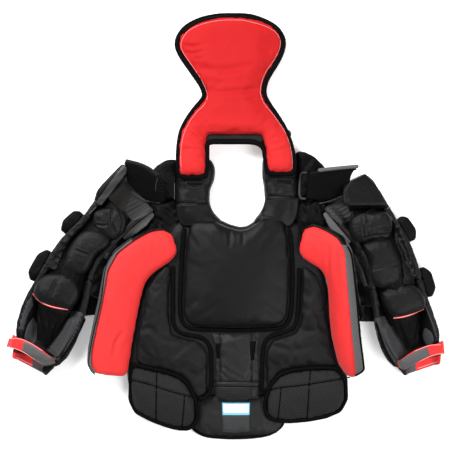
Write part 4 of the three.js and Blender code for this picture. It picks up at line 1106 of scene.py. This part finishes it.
# Laid cloth: its two edges, the pieces below, its thickness and how far it bridges their dips
STRIPS = [
    ("bib_left", "lining", [(176.5, 204.5), (177, 216), (181, 224), (189, 225.5), (198, 221.5),
      (207, 219.5), (214, 217.5)], [(209, 204.5), (210, 207), (211.5, 210.5), (213.5, 213.5), (216, 216)],
      BODY_LEFT, 1.2, 60),
    ("bib_right", "lining", [(298.5, 198), (297.5, 212), (293, 223), (287, 226), (282, 220.5),
      (275, 217.5), (263, 215.5)], [(265, 200), (264.5, 203), (263.5, 206.5), (262.5, 209), (260.5, 213)],
      BODY_RIGHT, 1.2, 60),
    ("forearm_oval_left", "patch", [(33, 318), (28, 326), (25, 337), (27, 345)],
     [(34, 318), (38, 327), (38, 337), (33, 345)], ["forearm_shell_left"], 1.2, 4),
    ("forearm_oval_right", "patch", [(424, 328), (422, 335), (424, 341), (427, 345)],
     [(426, 328), (431, 333), (433, 340), (431, 346)], ["forearm_shell_right"], 1.2, 4),
    ("armhole_mesh_left", "pleats", [(130, 197), (126, 204), (125, 212), (133, 221)],
     [(146, 204), (150, 207), (150, 211), (144, 218)], ["upper_arm_shell_left", "sleeve_left"], 1.2, 4),
    ("armhole_mesh_right", "pleats", [(322, 205), (324, 209), (331, 214), (340, 221)],
     [(342, 198), (349, 205), (352, 212), (351, 218)], ["upper_arm_shell_right", "sleeve_right"], 1.2, 4),
    ("forearm_face_left", "mesh", [(72, 310), (64, 327), (55, 340), (49, 347)],
     [(83, 312), (77, 328), (68, 343), (59, 356)], ["forearm_panel_left", "forearm_shell_left"], 1.4, 14),
    ("forearm_face_right", "mesh", [(384, 316), (392, 330), (400, 343), (405, 352)],
     [(375, 320), (382, 336), (390, 350), (398, 362)], ["forearm_panel_right", "forearm_shell_right"],
     1.4, 14),
    ("strap_face_left", "red", [(9.5, 338), (20, 337.5), (31, 341.5), (44, 349.5), (52, 357), (57, 363)],
     [(6.5, 347), (14, 347.8), (25, 352), (36, 359.5), (44, 365), (51, 367)], STRAP_LEFT, 2.2, 40),
    ("strap_face_right", "red", [(440.5, 343.5), (428, 344.2), (413, 349.8), (401, 358), (396.5, 362.5)],
     [(443.5, 353), (432, 355), (416, 361.8), (405, 369), (401, 371)], STRAP_RIGHT, 2.2, 40),
    ("tab_face_left", "webbing", [(25, 341), (31, 343), (43, 350.3), (51.5, 357), (57.5, 363)],
     [(23.5, 350), (27, 351.8), (36.5, 358.7), (44, 364.6), (51, 367.4)], ["strap_face_left"], 1.6, 4),
    ("tab_face_right", "webbing", [(426, 346), (413.3, 351), (401.5, 358), (396, 362.6)],
     [(428.5, 354.6), (417, 360.6), (405.5, 368.6), (401, 371.4)], ["strap_face_right"], 1.6, 4),
    ("plate_face_right", "nylon", [(362, 174.5), (350, 180), (342.5, 187), (345, 199), (349, 211.5)],
     [(366, 174.5), (371.5, 179), (377.5, 190), (383, 200), (387, 207.5)],
     ["bicep_plate_right", "bicep_pad_right", "upper_arm_shell_right"], 1.2, 30),
    ("belly_band", "quilt", [(217, 387), (234, 387.5), (252, 387)],
     [(217, 398), (234, 398.5), (252, 398)], ["belly_center"], 1.0, 2),
    ("belly_mark_left", "tape", [(216, 343), (216, 351), (217, 358)],
     [(221, 343), (220, 351), (220, 358)], ["belly_center"], 1.4, 0),
    ("belly_mark_right", "tape", [(250, 341), (250, 350), (251, 360)],
     [(256, 341), (255, 350), (254, 360)], ["belly_center"], 1.4, 0),
    ("elbow_strip_left", "mesh", [(104, 257), (110, 250), (116, 244)],
     [(108, 260), (113, 254), (120, 247)], ["elbow_fold_left"], 1.0, 3),
    ("elbow_strip_right", "mesh", [(351, 256), (357, 270), (363, 286)],
     [(354, 254), (361, 268), (367, 286)], ["elbow_fold_right"], 1.0, 3),
    # tag on the tail flap: pale above and dark below, with a blue edge
    ("label.edge", "tag_edge", [(222, 402.5), (236, 402.5), (250, 402.5)],
     [(223, 431), (236, 432), (249, 431)], ["tail_flap"], 2.6, 6),
    ("label.face", "tag", [(223.4, 404), (236, 404), (248.6, 404)],
     [(223.4, 413), (236, 413), (248.6, 413)], ["label.edge"], 0.5, 0),
    ("label.print", "tag_dark", [(221.4, 415), (236, 415), (250.6, 415)],
     [(222.3, 431.6), (236, 432.6), (249.8, 431.6)], ["label.edge", "tail_flap"], 0.9, 3),
]
BEDS = {side: [f"sleeve_{side}", f"upper_arm_shell_{side}", f"forearm_shell_{side}"] for side in SIDES}
RUFFLES = [
    ("elbow_ruffle_left", [(94, 216), (82, 229), (70, 243), (62, 258), (57, 270)],
     [(88, 213), (74, 227), (61, 240), (53, 253), (46, 268)], BEDS["left"]),
    ("elbow_ruffle_right", [(391, 220), (394, 240), (400, 256), (402, 270), (402, 284)],
     [(396, 219), (403, 236), (409, 254), (413, 270), (414, 284)], BEDS["right"]),
]
# Cloth that hangs between its two edges at two levels; the folds by the shoulder caps and armholes are a
# darker black that paints the shade there
FOLDS = [
    ("cap_fold_left", "dusk", [(126, 186), (140, 192), (158, 197)], [(122, 196), (136, 204), (156, 208)],
     (4, 4)),
    ("cap_fold_right", "dusk", [(314, 196), (330, 193), (348, 189)], [(316, 210), (332, 208), (350, 204)],
     (4, 4)),
    ("belly_fold_left", "nylon", [(190, 390), (200, 390), (208, 390)],
     [(190, 410), (200, 410), (208, 410)], (9, 9)),
    ("collar_fold", "tape", [(257, 140), (264, 140), (271, 141)],
     [(260, 147), (265.5, 148.5), (272, 152)], (42, 42)),
    ("armhole_fold_left", "dusk", [(146, 200), (160, 196), (178, 194)],
     [(148, 218), (162, 216), (180, 214)], (9, 9)),
    ("armhole_fold_right", "dusk", [(294, 190), (308, 190), (324, 196)],
     [(296, 212), (310, 214), (326, 214)], (9, 9)),
    ("elbow_fold_left", "nylon", [(116, 241), (107, 252), (97, 264), (90, 278), (86, 292)],
     [(125, 242), (114, 254), (109, 268), (105, 284), (101, 300)], (60, 34)),
    ("elbow_fold_right", "nylon", [(356, 240), (364, 256), (370, 272), (375, 290), (379, 306)],
     [(349, 242), (352, 256), (355, 272), (357, 290), (360, 306)], (60, 30)),
]
FOLD_THICK = 2.4
RUFFLE_THICK = 2.0
RUFFLE_BRIDGING = 12
RUFFLE_WAVES = (4.5, 17)  # height and pitch
for name, style, one, other, levels in FOLDS:
    strip(name, style, one, other, [], FOLD_THICK, 0, levels)
for name, one, other, parts in RUFFLES:
    strip(name, "nylon", one, other, parts, RUFFLE_THICK, RUFFLE_BRIDGING, None, RUFFLE_WAVES)
for name, style, one, other, parts, thick, bridging in STRIPS:
    strip(name, style, one, other, parts, thick, bridging)
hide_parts("label")

# Stitched edges of the flap, straps and cuffs, and a painted highlight along the forearm piping
FLAP_TOP = [(183, 33.5), (187.5, 28.2), (196, 23.2), (206, 19.6), (220, 17.2), (233, 16.8), (246, 17.6),
            (258, 19.8), (268, 23), (276, 28.5), (280, 33.5)]
FLAP_LEFT = [(182, 171), (181, 160), (181.5, 147), (184, 135), (190, 122), (197, 112.4), (204, 105.4),
             (207.5, 97), (205.6, 89), (201, 79), (194.5, 69), (187.5, 59), (182, 50), (181, 43),
             (183.5, 37), (188, 31.4), (197.5, 26), (211, 22), (224, 20.4), (233, 20.2)]
FLAP_RIGHT = [(233, 20.2), (242, 20.4), (251, 22.2), (261.5, 25), (269.5, 28.2), (276, 32.6), (279.5, 38),
              (280.5, 43), (279, 50), (274, 60), (267, 70), (262.4, 80), (260.4, 90), (261, 97),
              (265, 105.4), (271, 112.4), (277, 120.4), (282.5, 128.5), (286.5, 136.6), (289.5, 145),
              (291.5, 155), (292, 169)]
EDGINGS = [
    ("strap_edge_left.upper", "stitch", [(9.5, 338.4), (20, 338), (31, 342), (44, 350)], 0.7,
     ["strap_face_left"]),
    ("strap_edge_left.lower", "stitch", [(7, 346.5), (14, 347.3), (25, 351.4), (36, 359)], 0.7,
     ["strap_face_left"]),
    ("strap_edge_right.upper", "stitch", [(440, 344.1), (428, 344.8), (413, 350.4)], 0.7,
     ["strap_face_right"]),
    ("strap_edge_right.lower", "stitch", [(443, 352.4), (432, 354.4), (416, 361.2)], 0.7,
     ["strap_face_right"]),
    ("cuff_edge_left", "stitch", [(14.5, 356.5), (23, 361), (32, 365.5)], 0.8, ["cuff_left"]),
    ("cuff_edge_right", "stitch", [(437.5, 361.5), (428, 365.5), (418, 368.8)], 0.8, ["cuff_right"]),
    ("flap_edge_top", "tape", FLAP_TOP, 3.4, ["back_flap", "flap_binding"]),
    ("flap_stitch_left", "stitch", FLAP_LEFT, 0.38, ["back_flap", "flap_binding"]),
    ("flap_stitch_right", "stitch", FLAP_RIGHT, 0.38, ["back_flap", "flap_binding"]),
    # painted highlight: a pale pink line along the top of the red forearm piping
    ("forearm_glint_left", "stitch", FOREARM_LINES["left"], 0.8, ["forearm_piping_left"]),
    ("forearm_glint_right", "stitch", FOREARM_LINES["right"], 0.8, ["forearm_piping_right"]),
]
for row in EDGINGS:
    pipe(*row)

# Parts of one piece in another cloth, and painted shade inside the cuffs

ANY_TILT = (-2.0, 2.0)


def recolor(part, style, outline, tilt):
    """Gives another look to the faces inside an outline of photo pixels that rise within limits."""
    mesh = made[part].data
    count = len(mesh.polygons)
    centres = np.empty(count * 3)
    facing = np.empty(count * 3)
    mesh.polygons.foreach_get("center", centres)
    mesh.polygons.foreach_get("normal", facing)
    flat = centres.reshape(-1, 3)[:, :2]
    corners = run(outline)
    inside = np.zeros(count, bool)
    for a, b in zip(corners, np.roll(corners, -1, 0)):
        crosses = (a[1] > flat[:, 1]) != (b[1] > flat[:, 1])
        where = (b[0] - a[0]) * (flat[:, 1] - a[1]) / (b[1] - a[1] + 1e-12) + a[0]
        inside ^= crosses & (flat[:, 0] < where)
    rising = facing.reshape(-1, 3)[:, 2]
    inside &= (rising > tilt[0]) & (rising < tilt[1])
    mesh.materials.append(LOOKS[style])
    which = np.zeros(count, np.int32)
    mesh.polygons.foreach_get("material_index", which)
    which[inside] = len(mesh.materials) - 1
    mesh.polygons.foreach_set("material_index", which)
    mesh.update()


REGIONS = [
    ("bicep_plate_left", "rim", [(131, 168), (124, 166), (97, 203), (100, 208)], (-0.2, 2.0)),
    ("upper_arm_shell_left", "inner", [(128, 178), (104, 187), (98, 207), (128, 212), (150, 217),
      (160, 204), (140, 196)], (0.2, 2.0)),
    ("upper_arm_shell_right", "inner", [(318, 203), (345, 195), (354, 205), (354, 219), (340, 224),
      (322, 212)], (0.2, 2.0)),
    ("forearm_shell_left", "mesh", [(72, 310), (84, 313), (72, 341), (62, 356), (57, 361), (47, 347),
      (60, 330)], (-0.1, 2.0)),
    ("forearm_shell_right", "mesh", [(370, 319), (384, 315), (398, 337), (407, 353), (396, 365),
      (381, 341)], (-0.1, 2.0)),
    ("forearm_shell_left", "patch", [(33, 297), (28, 302), (23, 314), (20, 328), (24, 330), (28, 316),
      (34, 304)], (-0.1, 2.0)),
    # painted shade: the inside of each cuff under its strap, in a darker red
    ("cuff_left", "maroon", [(10, 337), (60, 357), (50, 369), (28, 356), (10, 351)], ANY_TILT),
    ("cuff_right", "maroon", [(442, 343), (395, 359), (402, 371), (422, 360), (442, 355)], ANY_TILT),
    ("cuff_left", "rim", [(31, 354), (44, 358), (50, 368), (42, 380), (33, 376)], ANY_TILT),
    ("cuff_left", "nylon", [(44, 362), (62, 358), (60, 372), (44, 382), (41, 375)], ANY_TILT),
    ("cuff_right", "rim", [(416, 358), (404, 362), (399, 368), (406, 380), (417, 378)], ANY_TILT),
    ("cuff_right", "nylon", [(405, 366), (392, 366), (394, 376), (407, 380)], ANY_TILT),
    ("wing_left", "nylon", [(80, 200), (200, 200), (200, 400), (80, 400)], (-2.0, -0.12)),
    ("wing_right", "nylon", [(280, 200), (370, 200), (370, 400), (280, 400)], (-2.0, -0.12)),
    ("wing_gusset_left", "nylon", [(134, 247), (132, 238), (150, 222), (180, 218), (186, 240), (168, 236),
      (150, 238)], ANY_TILT),
    ("wing_gusset_right", "nylon", [(292, 240), (296, 216), (325, 222), (343, 236), (346, 245),
      (336, 244), (324, 236), (306, 234)], ANY_TILT),
]
for row in REGIONS:
    recolor(*row)

# Bound edge of the tail flap and the small hook of the back flap, each at one height
TAIL_EDGE = [(193, 425), (194, 430), (205, 436), (222, 438), (240, 438.3), (258, 437), (271, 434),
             (281, 427), (284, 420)]
HOOK = [(285, 130.5), (288.5, 131.5), (290, 134.5), (288, 138)]
# Columns: name, look, path, height, step and radius in millimetres
LEVEL_TUBES = [
    ("tail_binding", "tape", TAIL_EDGE, 8, 3, 3.4),
    ("flap_hook", "plastic", HOOK, 40, 2, 2.8),
]
for name, style, path, height, step, radius in LEVEL_TUBES:
    line = curve_through(np.column_stack([run(path), np.full(len(path), height * MM)]), step * MM)
    dress(new_piece(name, tube_mesh(name, line, radius * MM)), None, style)


# Camera, floor and light

CAMERA_HEIGHT = 6.0
CAMERA_LEVEL = 0.02  # height that the photo's scale holds at
SENSOR = 36
FLOOR_HALF = 30.0
FLOOR_DROP = 0.5 * MM
FLOOR_LOOK = {
    "Base Color": (0.93, 0.93, 0.93, 1),
    "Roughness": 0.9,
    "Specular IOR Level": 0.1,
    "Emission Color": (1, 1, 1, 1),
    "Emission Strength": 0.3,
}
SKY_STRENGTH = 0.42
AIM = Vector((0, 0.1, 0))
# Columns: name, place, size in metres, power in watts
LIGHTS = [
    ("key", (-1.3, 1.9, 2.3), 1.3, 150),
    ("fill", (1.7, -0.9, 2.6), 1.6, 75),
]

camera_data = bpy.data.cameras.new("camera")
camera_data.sensor_width = SENSOR
camera_data.lens = SENSOR * (CAMERA_HEIGHT - CAMERA_LEVEL) / (FRAME_PX * PIXEL)
camera_data.clip_end = 50
camera = bpy.data.objects.new("camera", camera_data)
middle = spot(FRAME_PX / 2, FRAME_PX / 2)
camera.location = (middle[0], middle[1], CAMERA_HEIGHT)
scene.collection.objects.link(camera)
scene.camera = camera

floor_mesh = bpy.data.meshes.new("floor")
signs = [(-1, -1), (1, -1), (1, 1), (-1, 1)]
corners = [(x * FLOOR_HALF, y * FLOOR_HALF, -FLOOR_DROP) for x, y in signs]
floor_mesh.from_pydata(corners, [], [(0, 1, 2, 3)])
floor = new_piece("floor", floor_mesh)
floor_look = bpy.data.materials.new("floor")
floor_look.use_nodes = True
for socket, value in FLOOR_LOOK.items():
    floor_look.node_tree.nodes["Principled BSDF"].inputs[socket].default_value = value
floor_mesh.materials.append(floor_look)

world = bpy.data.worlds.new("studio")
world.use_nodes = True
world.node_tree.nodes["Background"].inputs["Color"].default_value = (1, 1, 1, 1)
world.node_tree.nodes["Background"].inputs["Strength"].default_value = SKY_STRENGTH
scene.world = world
for name, place, size, power in LIGHTS:
    lamp = bpy.data.lights.new(name, "AREA")
    lamp.size = size
    lamp.energy = power
    obj = bpy.data.objects.new(name, lamp)
    obj.location = place
    aim = AIM - obj.location
    obj.rotation_euler = aim.to_track_quat("-Z", "Y").to_euler()
    scene.collection.objects.link(obj)
scene.view_settings.view_transform = "Standard"

bpy.context.view_layer.update()
